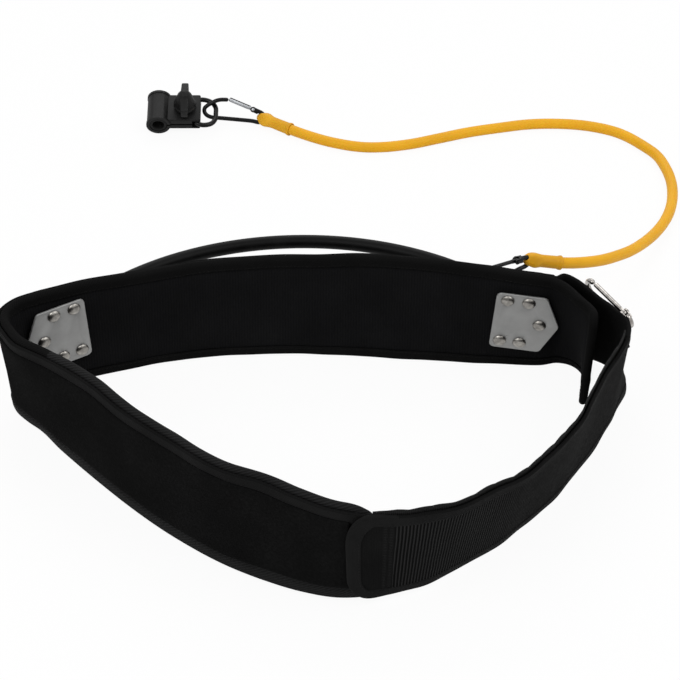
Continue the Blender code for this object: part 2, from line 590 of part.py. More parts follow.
def makeSide(side, x, y, h, toward, roll, angle, way):
    # backing plate, five rivets and the rail bracket of one side
    seatFrame = plateSeat(x, y, h, toward, roll)
    origin, along, up, out = (seatFrame[key] for key in ("origin", "along", "up", "out"))
    if np.cross(along, up) @ out > 0:
        matrix = frameMatrix(origin, along, up)
        flip = 1.0
    else:
        matrix = frameMatrix(origin, along, -up)
        flip = -1.0
    inner = seatFrame["inner"] - 0.6
    outer = seatFrame["outer"] + 0.7
    outline = pentagon()
    plate = extruded("backing_plate_" + side, outline, inner - PLATE_THICKNESS, inner, "plate_metal", 0.4)
    placeAt(plate, matrix)
    flange = extruded("rail_bracket_" + side, outline, outer, outer + FLANGE_THICKNESS, "bracket_plastic", 0.6)
    placeAt(flange, matrix)
    holes = bmesh.new()
    spots = [(u - (PLATE_STRAIGHT + PLATE_TIP) / 2, v * flip) for u, v in RIVET_SPOTS]
    for u, v in spots:
        move = Matrix.Translation(Vector((u, v, (inner + outer) / 2)) * MM)
        bmesh.ops.create_cone(holes, cap_ends=True, segments=10, radius1=RIVET_HOLE * MM,
                              radius2=RIVET_HOLE * MM, depth=(outer - inner + 14.0) * MM, matrix=move)
    drill = helperMesh("rivet_holes_" + side, holes)
    placeAt(drill, matrix)
    for item in (plate, paddedBelt, outerStrap):
        cutWith(item, drill)
    headLow = inner - PLATE_THICKNESS - 0.2
    tailLow = outer + FLANGE_THICKNESS + 0.2
    for number, (u, v) in enumerate(spots, 1):
        profile = [(0.0, headLow - RIVET_DOME), (2.8, headLow - RIVET_DOME * 0.8),
                   (4.7, headLow - RIVET_DOME * 0.4), (RIVET_HEAD, headLow), (RIVET_SHANK, headLow),
                   (RIVET_SHANK, tailLow), (3.8, tailLow),
                   (3.5, tailLow + 0.9), (0.0, tailLow + 1.1)]
        rivet = lathe("rivet_" + side + "_" + str(number), profile, "rivet_metal", 10)
        placeAt(rivet, matrix @ Matrix.Translation(Vector((u, v, 0.0)) * MM))
    end, inward = socketEnd(angle, way)
    back = end - inward * 3.5
    mouth = end + inward * (RAIL_RADIUS * math.radians(SOCKET_ANGLE) + 0.5)
    socketMiddle = (back + mouth) / 2
    socket = helperMesh("socket_" + side, rodWork(SOCKET_RADIUS, back, mouth, 20))
    upright = np.array([0.0, 0.0, 1.0])
    hull = bmesh.new()
    for centre, first, second, spanAlong, spanUp in [
            (origin + out * (outer + 1.2), along, up, 15.0, 19.0), (socketMiddle, inward, upright, 10.0, 7.5)]:
        for a in (-1, 1):
            for b in (-1, 1):
                hull.verts.new(Vector(centre + first * a * spanAlong + second * b * spanUp) * MM)
    bmesh.ops.convex_hull(hull, input=hull.verts)
    arm = helperMesh("arm_" + side, hull)
    rib = bmesh.new()
    for centre, first, spanAlong, spanUp in [(origin + out * (outer + 1.7), along, 1.8, 23.0),
                                             (socketMiddle + inward * 0.37, inward, 1.5, 8.3)]:
        for a in (-1, 1):
            for b in (-1, 1):
                rib.verts.new(Vector(centre + first * a * spanAlong + upright * b * spanUp) * MM)
    bmesh.ops.convex_hull(rib, input=rib.verts)
    ribs = helperMesh("rib_" + side, rib)
    bore = helperMesh("bore_" + side,
                      rodWork(RAIL_WIRE + 0.5, end - inward * 0.4, mouth + inward * 4.0, 20))
    cutWith(flange, arm, "UNION")
    cutWith(flange, ribs, "UNION")
    cutWith(flange, socket, "UNION")
    cutWith(flange, bore)
    tailHoles = bmesh.new()
    for u, v in spots:
        move = Matrix.Translation(Vector((u, v, outer + FLANGE_THICKNESS + 10.2)) * MM)
        bmesh.ops.create_cone(tailHoles, cap_ends=True, segments=14, radius1=5.3 * MM, radius2=5.3 * MM,
                              depth=20.0 * MM, matrix=move)
    relief = helperMesh("rivet_relief_" + side, tailHoles)
    placeAt(relief, matrix)
    cutWith(flange, relief)
    cutWith(flange, drill)


makeSide("right", 147.3, -41.0, 52.0, -1.0, -4.0, RAIL_START, 1.0)
makeSide("left", -224.0, -67.0, 57.0, 1.0, -6.0, RAIL_END, -1.0)


def curveRod(name, points, radius, slot, closed=False, resolution=3):
    # round bar or cord along points in millimetres, its ends capped
    curve = bpy.data.curves.new(name, "CURVE")
    curve.dimensions = "3D"
    curve.bevel_depth = radius * MM
    curve.bevel_resolution = resolution
    curve.use_fill_caps = True
    spline = curve.splines.new("POLY")
    spline.points.add(len(points) - 1)
    for k, point in enumerate(points):
        spline.points[k].co = (point[0] * MM, point[1] * MM, point[2] * MM, 1.0)
    spline.use_cyclic_u = closed
    spline.use_smooth = True
    item = bpy.data.objects.new(name, curve)
    bpy.context.scene.collection.objects.link(item)
    item.parent = assembly
    curve.materials.append(MATERIALS[slot])
    return item


def smoothRoute(points, count, closed=False):
    # evenly spaced points on a smooth curve through the route points
    p = np.array(points, float)
    if closed:
        p = np.concatenate([p[-3:], p, p[:3]])
    knots = np.concatenate([[0.0], np.cumsum(np.linalg.norm(np.diff(p, axis=0), axis=1))])
    slopes = np.gradient(p, knots, axis=0, edge_order=2)
    low, high = (knots[3], knots[-3]) if closed else (0.0, knots[-1])
    u = np.linspace(low, high, 4000)
    i = np.clip(np.searchsorted(knots, u, side="right") - 1, 0, len(knots) - 2)
    span = knots[i + 1] - knots[i]
    t = ((u - knots[i]) / span)[:, None]
    fine = ((2 * t**3 - 3 * t**2 + 1) * p[i] + (t**3 - 2 * t**2 + t) * slopes[i] * span[:, None]
            + (3 * t**2 - 2 * t**3) * p[i + 1] + (t**3 - t**2) * slopes[i + 1] * span[:, None])
    run = np.concatenate([[0.0], np.cumsum(np.linalg.norm(np.diff(fine, axis=0), axis=1))])
    wanted = np.linspace(0.0, run[-1], count + 1)[:-1] if closed else np.linspace(0.0, run[-1], count)
    return np.stack([np.interp(wanted, run, fine[:, k]) for k in range(p.shape[1])], 1)


def sweepPoints(points, radius, segments):
    # rings of a round wire along points, carried round without twist
    p = np.array(points, float)
    along = np.gradient(p, axis=0)
    along /= np.linalg.norm(along, axis=1)[:, None]
    side = np.cross(along[0], (0.0, 0.0, 1.0))
    if np.linalg.norm(side) < 0.1:
        side = np.cross(along[0], (0.0, 1.0, 0.0))
    rings = []
    angles = np.linspace(0.0, 2 * math.pi, segments, endpoint=False)
    for k in range(len(p)):
        side = side - along[k] * (side @ along[k])
        side /= np.linalg.norm(side)
        other = np.cross(along[k], side)
        rings.append(p[k] + radius * (np.cos(angles)[:, None] * side + np.sin(angles)[:, None] * other))
    return np.concatenate(rings)


def sweepObject(name, points, radius, segments, slot):
    rings = sweepPoints(points, radius, segments)
    return meshFrom(name, rings, gridFaces(len(points), segments), slot)


def sweepHelper(name, points, radius, segments):
    rings = sweepPoints(points, radius, segments)
    work = bmesh.new()
    made = [work.verts.new(Vector(v) * MM) for v in rings]
    for face in gridFaces(len(points), segments):
        work.faces.new([made[k] for k in face])
    return helperMesh(name, work)


arc = np.radians(np.linspace(RAIL_START, RAIL_END, 33))
railPoints = [(RAIL_CENTRE[0] + RAIL_RADIUS * math.cos(a), RAIL_CENTRE[1] + RAIL_RADIUS * math.sin(a),
               RAIL_HEIGHT) for a in arc]
curveRod("slide_rail", railPoints, RAIL_WIRE, "rail_coat")


def makeHook(prefix, outline, hinge, nose, wire, scale, matrix, bodySlot, gateSlot):
    # spring hook in its own plane: wire body with a fork, gate on a pin
    rows = smoothRoute([(u, v, 0.0) for u, v in outline], 31)
    body = sweepObject(prefix + "_body", rows, wire, 8, bodySlot)
    placeAt(body, matrix)
    hinge = np.array([hinge[0], hinge[1], 0.0])
    nose = np.array([nose[0], nose[1], 0.0])
    cheek = 2.6 * scale
    slotHalf = 1.35 * scale
    first = rows[2] - hinge
    first = first / np.linalg.norm(first)
    side = np.array([-first[1], first[0], 0.0])
    neck = bmesh.new()
    for a in (0.0, 5.2 * scale):
        for b in (-2.3 * scale, 2.3 * scale):
            for c in (-cheek, cheek):
                neck.verts.new(Vector(hinge + first * a + side * b + np.array([0.0, 0.0, c])) * MM)
    bmesh.ops.convex_hull(neck, input=neck.verts)
    up = np.array([0.0, 0.0, 1.0])
    parts = [(helperMesh(prefix + "_neck", neck), "UNION"),
             (helperMesh(prefix + "_eye", rodWork(2.5 * scale, hinge - up * cheek, hinge + up * cheek, 20)),
              "UNION"),
             (helperMesh(prefix + "_slot",
                         rodWork(3.1 * scale, hinge - up * slotHalf, hinge + up * slotHalf, 20)), "DIFFERENCE"),
             (helperMesh(prefix + "_hole",
                         rodWork(1.05 * scale, hinge - up * cheek * 2, hinge + up * cheek * 2, 14)), "DIFFERENCE")]
    for helper, operation in parts:
        placeAt(helper, matrix)
        cutWith(body, helper, operation)
    line = nose - hinge
    reach = float(np.linalg.norm(line))
    line = line / reach
    gateMatrix = matrix @ Matrix.Translation(Vector(hinge) * MM)
    gateRadius = wire * 0.84
    gateRows = [line * g for g in np.linspace(3.5 * scale, reach - 0.5, 4)]
    gate = sweepObject(prefix + "_gate", gateRows, gateRadius, 12, gateSlot)
    placeAt(gate, gateMatrix)
    tongueSide = np.array([-line[1], line[0], 0.0])
    tongue = bmesh.new()
    thick = slotHalf - 0.35 * scale
    for a, b in [(-1.2, 1.5), (-1.2, -1.5), (0.4, 1.9), (0.4, -1.9), (4.4, 1.5), (4.4, -1.5), (-1.9, 0.0)]:
        for c in (-thick, thick):
            corner = line * a * scale + tongueSide * b * scale + np.array([0.0, 0.0, c])
            tongue.verts.new(Vector(corner) * MM)
    bmesh.ops.convex_hull(tongue, input=tongue.verts)
    parts = [(helperMesh(prefix + "_tongue", tongue), "UNION"),
             (helperMesh(prefix + "_pivot", rodWork(1.05 * scale, -up * cheek, up * cheek, 14)),
              "DIFFERENCE")]
    for helper, operation in parts:
        placeAt(helper, gateMatrix)
        cutWith(gate, helper, operation)
    pinRadius = 0.75 * scale
    low = cheek + 0.25
    profile = [(0.0, -low - 0.6), (1.3 * scale, -low - 0.45), (1.5 * scale, -low), (pinRadius, -low),
               (pinRadius, low), (1.5 * scale, low), (1.3 * scale, low + 0.45), (0.0, low + 0.6)]
    pin = lathe(prefix + "_pin", profile, gateSlot, 14)
    placeAt(pin, gateMatrix)
    return rows


# far end hook, from the ring on the clamp to the far cuff
farOrigin = np.array([-113.4, 336.0, 14.5])
farHole = np.array([-69.4, 331.8, 7.2])
farMatrix = frameMatrix(farOrigin, farHole - farOrigin, (0.0, 0.5, 0.866))
farRows = makeHook("club_snap", HOOK_OUTLINE, HOOK_HINGE, HOOK_NOSE, HOOK_WIRE, 1.0, farMatrix, "hook_coat",
                   "gate_metal")

# near end hook, round the rail
railTurn = math.radians(47.5)
railPoint = np.array([RAIL_CENTRE[0] + RAIL_RADIUS * math.cos(railTurn),
                      RAIL_CENTRE[1] + RAIL_RADIUS * math.sin(railTurn), RAIL_HEIGHT])
nearHole = np.array([154.4, 32.2, 57.0])
reach = nearHole - railPoint
nearAxis = reach / np.linalg.norm(reach)
railAlong = np.array([-math.sin(railTurn), math.cos(railTurn), 0.0])
nearUp = np.cross(nearAxis, railAlong)
nearUp = nearUp * (1.0 if nearUp[2] > 0 else -1.0)
nearOrigin = railPoint - nearAxis * 3.4 - nearUp * 0.85
nearMatrix = frameMatrix(nearOrigin, nearHole - nearOrigin, nearUp)
nearRows = makeHook("rail_snap", HOOK_OUTLINE, HOOK_HINGE, HOOK_NOSE, HOOK_WIRE, 1.0, nearMatrix, "hook_coat",
                    "gate_metal")


def makeCuff(name, hole, mouth, rows, matrix):
    # rubber end sleeve: rounded eye on the hook's wire, socket for the tube
    axis = np.array(mouth, float) - np.array(hole, float)
    length = float(np.linalg.norm(axis))
    profile = [(0.0, -6.6), (2.6, -6.1), (4.6, -4.6), (6.0, -2.2), (6.5, 0.5), (6.6, 3.0), (6.1, 6.0),
               (5.7, 8.5), (CUFF_RADIUS, length), (CUFF_SOCKET, length),
               (CUFF_SOCKET, length - CUFF_SOCKET_DEPTH), (0.0, length - CUFF_SOCKET_DEPTH)]
    cuff = lathe(name, profile, "cuff_rubber", 20)
    side = (0.0, 0.0, 1.0) if abs(axis[2]) < 0.9 * length else (1.0, 0.0, 0.0)
    z = Vector(axis).normalized()
    x = Vector(side).cross(z).normalized()
    turn = Matrix((x, z.cross(x), z)).transposed().to_4x4()
    turn.translation = Vector(hole) * MM
    placeAt(cuff, turn)
    passage = sweepHelper(name + "_passage", rows[1:18], HOOK_WIRE + 0.45, 10)
    placeAt(passage, matrix)
    cutWith(cuff, passage)


makeCuff("far_cuff", farHole, TUBE_ROUTE[0], farRows, farMatrix)
makeCuff("near_cuff", nearHole, TUBE_ROUTE[-1], nearRows, nearMatrix)

tubeLine = smoothRoute(TUBE_ROUTE, 74)
firstWay = (tubeLine[0] - farHole) / np.linalg.norm(tubeLine[0] - farHole)
lastWay = (tubeLine[-1] - nearHole) / np.linalg.norm(tubeLine[-1] - nearHole)
inside = CUFF_SOCKET_DEPTH - CUFF_GAP
tubePoints = np.concatenate([[tubeLine[0] - firstWay * inside], tubeLine, [tubeLine[-1] - lastWay * inside]])

curveRod("resistance_tube", tubePoints, TUBE_RADIUS, "tube_rubber", resolution=2)

# large hook lying against the outside of the strap, hung in a webbing keeper
sideAlong = np.array([0.5, -0.866, 0.0])
sideUp = np.array([-0.273, -0.144, 0.951])
sideOut = np.cross(sideUp, sideAlong)
SIDE_MIDDLE = np.array([208.8, -69.8, 90.6])
sideOrigin = SIDE_MIDDLE - sideAlong * 34.0 * SIDE_SCALE - sideUp * 11.2 * SIDE_SCALE
sideMatrix = frameMatrix(sideOrigin, sideAlong, sideUp)
sideOutline = [(u * SIDE_SCALE, v * SIDE_SCALE) for u, v in SIDE_OUTLINE]
sideHinge = (SIDE_HINGE[0] * SIDE_SCALE, SIDE_HINGE[1] * SIDE_SCALE)
sideNose = (SIDE_NOSE[0] * SIDE_SCALE, SIDE_NOSE[1] * SIDE_SCALE)
makeHook("side_snap", sideOutline, sideHinge, sideNose, SIDE_WIRE, 1.1, sideMatrix, "side_metal",
         "side_metal")

keeperAt = np.array([30.0, -10.2, 0.0]) * SIDE_SCALE
tail = boxWork((-8.5, -34.0, -1.2), (8.5, -3.2, 1.2))
keeper = workObject("snap_keeper", tail, "strap_webbing")
keeperMatrix = sideMatrix @ Matrix.Translation(Vector(keeperAt) * MM)
keeperMatrix = keeperMatrix @ Matrix.Rotation(math.radians(5.9), 4, "Z")
placeAt(keeper, keeperMatrix)
ring = helperMesh("keeper_ring", rodWork(4.2, (-8.5, 0.0, 0.0), (8.5, 0.0, 0.0), 20))
hole = helperMesh("keeper_hole", rodWork(2.8, (-12.0, 0.0, 0.0), (12.0, 0.0, 0.0), 20))
for helper, operation in ((ring, "UNION"), (hole, "DIFFERENCE")):
    placeAt(helper, keeperMatrix)
    cutWith(keeper, helper, operation)

# clamp for the club shaft, lying on its near rim
tilt = math.radians(CLAMP_TILT)
clampMatrix = frameMatrix(CLAMP_CENTRE, (1.0, 0.0, 0.0), (0.0, math.cos(tilt), math.sin(tilt)))
clampHalfLength = CLAMP_LENGTH / 2
barrel = rodWork(CLAMP_RADIUS, (0.0, -clampHalfLength, 0.0), (0.0, clampHalfLength, 0.0), 36)
rim = [edge for edge in barrel.edges if abs(edge.verts[0].co.y - edge.verts[1].co.y) < 1e-6]
bmesh.ops.bevel(barrel, geom=rim, offset=0.8 * MM, segments=1, affect="EDGES")
clamp = workObject("shaft_clamp", barrel, "clamp_plastic")
placeAt(clamp, clampMatrix)
block = boxWork((0.0, -15.5, -CLAMP_HALF), (CLAMP_REACH, 15.5, CLAMP_HALF))
bmesh.ops.bevel(block, geom=list(block.edges), offset=1.4 * MM, segments=1, affect="EDGES")
slit = boxWork((CLAMP_BORE - 1.5, -20.0, -CLAMP_SLOT), (CLAMP_REACH + 2.0, 20.0, CLAMP_SLOT))
seat = boxWork((RING_PIVOT - 2.5, -RING_HALF - 2.4, -2.5), (RING_PIVOT + 2.5, RING_HALF + 2.4, 2.5))
clampCuts = [("clamp_block", block, "UNION"),
             ("clamp_bore", rodWork(CLAMP_BORE, (0.0, -20.0, 0.0), (0.0, 20.0, 0.0), 36), "DIFFERENCE"),
             ("clamp_slot", slit, "DIFFERENCE"),
             ("clamp_screw_hole", rodWork(2.9, (KNOB_AT, 0.0, -12.0), (KNOB_AT, 0.0, 12.0), 20), "DIFFERENCE"),
             ("ring_seat", seat, "DIFFERENCE"),
             ("ring_way_near", boxWork((RING_PIVOT - 2.5, -RING_HALF - 2.4, -4.2),
                                       (CLAMP_REACH + 2.0, -RING_HALF + 5.0, 4.2)), "DIFFERENCE"),
             ("ring_way_far", boxWork((RING_PIVOT - 2.5, RING_HALF - 5.0, -4.2),
                                      (CLAMP_REACH + 2.0, RING_HALF + 2.4, 4.2)), "DIFFERENCE")]
for name, work, operation in clampCuts:
    helper = helperMesh(name, work)
    placeAt(helper, clampMatrix)
    cutWith(clamp, helper, operation)

linerProfile = [(LINER_INNER, -16.3), (LINER_OUTER, -16.3), (LINER_OUTER, 16.3), (LINER_INNER, 16.3)]
liner = lathe("clamp_liner", linerProfile, "liner_rubber", 32)
placeAt(liner, clampMatrix @ Matrix.Rotation(math.radians(90), 4, "X"))

nut = workObject("clamp_nut", rodWork(4.6, (KNOB_AT, 0.0, -10.2), (KNOB_AT, 0.0, -6.3), 6), "screw_metal")
placeAt(nut, clampMatrix)
nutHole = helperMesh("nut_hole", rodWork(2.8, (KNOB_AT, 0.0, -14.0), (KNOB_AT, 0.0, -2.0), 20))
placeAt(nutHole, clampMatrix)
cutWith(nut, nutHole)

knobMatrix = clampMatrix @ Matrix.Translation(Vector((KNOB_AT, 0.0, 0.0)) * MM)
screwProfile = [(0.0, -10.9), (2.0, -10.9), (2.5, -10.4), (2.5, 13.6), (2.2, 14.0), (0.0, 14.0)]
screw = lathe("clamp_screw", screwProfile, "screw_metal", 20)
placeAt(screw, knobMatrix)
knobProfile = [(0.0, 6.3), (8.0, 6.3), (8.6, 6.9), (8.7, 13.0), (8.1, 17.6), (6.5, 22.0), (3.8, 25.6),
               (0.0, 27.0)]
knob = lathe("wing_knob", knobProfile, "clamp_plastic", 24)
placeAt(knob, knobMatrix)
wing = bmesh.new()
for across, along, low, high in ((4.6, 5.0, 9.6, 22.5), (3.4, 15.4, 9.8, 20.0), (2.2, 17.0, 11.2, 18.6)):
    for x, y, z in [(a * across, b * along, h) for a in (-1, 1) for b in (-1, 1) for h in (low, high)]:
        wing.verts.new(Vector((x, y, z)) * MM)
bmesh.ops.convex_hull(wing, input=wing.verts)
wings = helperMesh("knob_wings", wing)
placeAt(wings, knobMatrix)
cutWith(knob, wings, "UNION")
knobHole = helperMesh("knob_hole", rodWork(2.8, (0.0, 0.0, 2.0), (0.0, 0.0, 14.4), 16))
placeAt(knobHole, knobMatrix)
cutWith(knob, knobHole)

# ring held between the ears of the clamp
ringRoute = [(RING_PIVOT, -9.0), (RING_PIVOT, 0.0), (RING_PIVOT, 9.0), (34.3, 13.2), (38.0, RING_HALF),
             (43.0, 14.8), (48.2, 12.2), (51.2, 7.0), (RING_BAR, 0.0), (51.2, -7.0), (48.2, -12.2),
             (43.0, -14.8), (38.0, -RING_HALF), (34.3, -13.2)]
ringPoints = smoothRoute([(x - RING_PIVOT, y, 0.0) for x, y in ringRoute], 32, True)
ring = curveRod("d_ring", ringPoints, RING_WIRE, "hook_coat", True, 2)
placeAt(ring, clampMatrix @ Matrix.Translation(Vector((RING_PIVOT, 0.0, 0.0)) * MM)
        @ Matrix.Rotation(math.radians(7.5), 4, "Y"))
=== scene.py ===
import bpy
import bmesh
import math
import numpy as np
from mathutils import Matrix, Vector


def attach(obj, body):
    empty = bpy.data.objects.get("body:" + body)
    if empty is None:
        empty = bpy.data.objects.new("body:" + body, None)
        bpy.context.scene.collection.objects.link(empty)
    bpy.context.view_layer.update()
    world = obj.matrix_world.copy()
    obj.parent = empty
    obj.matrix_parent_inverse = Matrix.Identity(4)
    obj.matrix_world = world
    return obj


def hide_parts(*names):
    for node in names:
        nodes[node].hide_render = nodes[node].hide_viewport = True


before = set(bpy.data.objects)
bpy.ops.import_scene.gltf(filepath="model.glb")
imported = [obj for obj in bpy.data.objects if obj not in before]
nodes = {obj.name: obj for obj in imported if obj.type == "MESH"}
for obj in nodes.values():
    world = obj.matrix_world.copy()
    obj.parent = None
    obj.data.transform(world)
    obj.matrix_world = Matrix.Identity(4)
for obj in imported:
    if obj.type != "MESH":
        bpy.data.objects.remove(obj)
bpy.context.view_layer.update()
mm = 0.001  # a millimetre in metres
shift = np.array((17.651, 135.387, 0.0))  # from the drawing's own millimetres to the frame

# camera: a long lens square to the belt's back, 36 degrees up
view = {"target": (0.017651, 0.135387, 0.0), "eye": (0.017651, -1.707513, 1.339), "lens": 36 * 2800 / 680,
        "sensor": 36, "farthest": 20}


def link(name, data):
    # a new object in the scene round a mesh, a curve, a lamp or a lens
    made = bpy.data.objects.new(name, data)
    bpy.context.scene.collection.objects.link(made)
    return made


def aim(made, spot, target):
    # stands it at a spot, looking at its target
    made.location = spot
    made.rotation_euler = (Vector(target) - Vector(spot)).to_track_quat("-Z", "Y").to_euler()


def makeCamera():
    lens = bpy.data.cameras.new("camera")
    lens.lens, lens.sensor_width, lens.clip_end = view["lens"], view["sensor"], view["farthest"]
    camera = link("camera", lens)
    aim(camera, view["eye"], view["target"])
    bpy.context.scene.camera = camera


makeCamera()
print("camera placed")


def tint(code):
    # sRGB hex value to linear colour
    parts = [int(code[k:k + 2], 16) / 255 for k in (1, 3, 5)]
    return tuple(c / 12.92 if c <= 0.04045 else ((c + 0.055) / 1.055) ** 2.4 for c in parts) + (1.0,)


def addNode(tree, kind, settings=None, inputs=None, output=0):
    # one node with its settings; each input is a plain value or another node's output
    made = tree.nodes.new("ShaderNode" + kind)
    for key, value in (settings or {}).items():
        if key == "stops":
            stops = made.color_ramp.elements
            while len(stops) < len(value):
                stops.new(0.5)
            for stop, (position, code) in zip(stops, value):
                stop.position, stop.color = position, tint(code)
        else:
            setattr(made, key, value)
    for key, value in (inputs or {}).items():
        if isinstance(value, bpy.types.NodeSocket):
            tree.links.new(value, made.inputs[key])
        else:
            made.inputs[key].default_value = value
    return made.outputs[output]


def startMaterial(name, look):
    # Principled shader with the look's plain numbers on its own sockets
    material = bpy.data.materials.new(name)
    material.use_nodes = True
    tree = material.node_tree
    shader = tree.nodes["Principled BSDF"]
    for key, value in look.items():
        if key in shader.inputs:
            shader.inputs[key].default_value = value
    return material, tree, shader


def finishShader(tree, shader, look, level, spread, height):
    # three colours over the level, roughness that drifts with it, bump from the height
    stops = list(zip(look["places"], look["colours"].split()))
    rough = {0: spread, 1: look["roughSpread"], 2: look["Roughness"] - look["roughSpread"] / 2}
    bump = {"Strength": look["bump"], "Distance": look["relief"], "Height": height}
    for socket, made in (("Base Color", addNode(tree, "ValToRGB", {"stops": stops}, {0: level})),
                         ("Roughness", addNode(tree, "Math", {"operation": "MULTIPLY_ADD"}, rough)),
                         ("Normal", addNode(tree, "Bump", None, bump))):
        tree.links.new(made, shader.inputs[socket])


def clothMaterial(name, look):
    # woven cloth on the piece's own map in metres: each weave is a wave of its own pitch and slant over the fuzz
    look = {"places": (0.2, 0.5, 0.8), "roughSpread": 0.2, "relief": 0.0006, "fuzz": 900.0, **look}
    material, tree, shader = startMaterial(name, look)
    spot = addNode(tree, "UVMap", {"uv_map": "cloth"})
    placed = addNode(tree, "TexCoord", output="Object")
    drift = addNode(tree, "TexNoise", None, {"Vector": placed, "Scale": 24.0, "Detail": 4.0})
    fuzz = addNode(tree, "TexNoise", None, {"Vector": placed, "Scale": look["fuzz"], "Detail": 2.0})
    height = fuzz
    for pitch, slant, share in look["weave"]:
        turned = addNode(tree, "Mapping", None, {"Vector": spot, "Rotation": (0.0, 0.0, math.radians(slant))})
        # the wave texture repeats every 0.314 units at scale 1
        band = {"Vector": turned, "Scale": 0.314 / pitch, "Distortion": 1.2, "Detail": 1.0, "Detail Scale": 0.4}
        height = addNode(tree, "Mix", None, {0: share, 2: height, 3: addNode(tree, "TexWave", None, band)})
    if "fadeFrom" in look:  # further along the map the ribs give way to a mottled face, in the bump and in their painted highlight and shade
        run = addNode(tree, "SeparateXYZ", None, {"Vector": spot})
        fadeShare = addNode(tree, "MapRange", None, {"Value": run, "From Min": look["fadeFrom"],
                                                "From Max": look["fadeFrom"] + 0.05, "To Max": 0.8})
        speck = addNode(tree, "TexNoise", None, {"Vector": placed, "Scale": 320.0, "Detail": 3.0})
        height = addNode(tree, "Mix", None, {0: fadeShare, 2: height, 3: speck})
    # the colour follows the weave's height mixed with a random drift: painted shade in the hollows, painted highlight
    # on the crowns
    level = addNode(tree, "Mix", None, {0: look["patches"], 2: height, 3: drift})
    finishShader(tree, shader, look, level, fuzz, height)
    return material


def hardMaterial(name, look):
    # moulded rubber or plastic, coated or bare metal: colour and gloss that drift, fine grain in the bump
    look = {"places": (0.3, 0.52, 0.72), "relief": 0.0002, **look}
    material, tree, shader = startMaterial(name, look)
    placed = addNode(tree, "TexCoord", output="Object")
    drift, grain = (addNode(tree, "TexNoise", None, {"Vector": placed, "Scale": look[key], "Detail": detail})
                    for key, detail in (("drift", 4.0), ("grain", 2.0)))
    finishShader(tree, shader, look, drift, drift, grain)
    return material


# every cloth is black nylon or polyester, told apart by its weave and sheen; colours run dark, mid, light over the
# weave's height, so its hollows carry painted shade and its crowns painted highlight
# weave rows: pitch in metres, slant in degrees, share of the relief; the finest are drawn coarser than real to show
clothLooks = {
    # ribbed nylon over foam: fine upright ribs 2.2 mm apart, matt and nearly black
    "ribbedNylon": {"colours": "#0c0c0c #141415 #1c1c1d", "weave": [(0.0009, 90.0, 0.3), (0.0022, 0.0, 0.28)],
                    "patches": 0.45, "bump": 0.6, "Roughness": 0.95, "Specular IOR Level": 0.03},
    # heavy belt webbing: raised ribs 2.4 mm apart that lean a little, their crowns painted lighter as highlight and
    # their grooves darker as shade
    "ribWebbing": {"colours": "#060606 #121212 #282828", "weave": [(0.0011, 90.0, 0.25), (0.00243, 1.0, 0.86)],
                   "fadeFrom": 0.125, "patches": 0.2, "bump": 0.9, "Roughness": 0.9, "Specular IOR Level": 0.03},
    # flat back of the webbing, and its plain end: very dark
    "plainWebbing": {"colours": "#0a0a0a #131313 #1d1d1d", "weave": [(0.0008, 90.0, 0.4), (0.0016, 0.0, 0.2)],
                     "patches": 0.55, "bump": 0.5, "Roughness": 0.95, "Specular IOR Level": 0.03},
    # woven binding tape: twill on the slant, a little paler than the cloth it binds
    "bindingTape": {"colours": "#0e0e0e #181818 #282829", "weave": [(0.0011, 90.0, 0.3), (0.0022, 57.0, 0.5)],
                    "patches": 0.42, "bump": 0.8, "Roughness": 0.85, "Specular IOR Level": 0.08},
    # the same tape where it is woven plain: smooth, hardly any weave shows
    "smoothTape": {"colours": "#0d0d0d #161616 #222222", "weave": [(0.0009, 90.0, 0.3), (0.0013, 30.0, 0.3)],
                   "patches": 0.6, "bump": 0.5, "Roughness": 0.85, "Specular IOR Level": 0.05},
    # edge tape round the back: as dark as the cloth it binds
    "plainTape": {"colours": "#0c0c0c #111111 #191919", "weave": [(0.0011, 90.0, 0.3), (0.0017, 39.0, 0.4)],
                  "patches": 0.4, "bump": 0.6, "Roughness": 0.95, "Specular IOR Level": 0.03},
    # brushed loop pile: no weave shows, only soft tufts and trodden patches
    "loopPile": {"colours": "#090909 #101010 #191919", "weave": [], "fuzz": 500.0,
                 "patches": 0.45, "bump": 0.8, "Roughness": 0.98, "Specular IOR Level": 0.02},
    # hook tape: rows of small stiff hooks 1.3 mm apart
    "hookTape": {"colours": "#080808 #131313 #222222", "weave": [(0.0013, 90.0, 0.5), (0.0013, 0.0, 0.5)],
                 "patches": 0.3, "bump": 1.0, "Roughness": 0.7, "Specular IOR Level": 0.12},
    # spun polyester sewing thread, paler than the cloth
    "sewingThread": {"colours": "#0d0d0d #161616 #212121", "weave": [(0.0008, 30.0, 0.6)],
                     "patches": 0.3, "bump": 0.5, "Roughness": 0.75, "Specular IOR Level": 0.08},
}
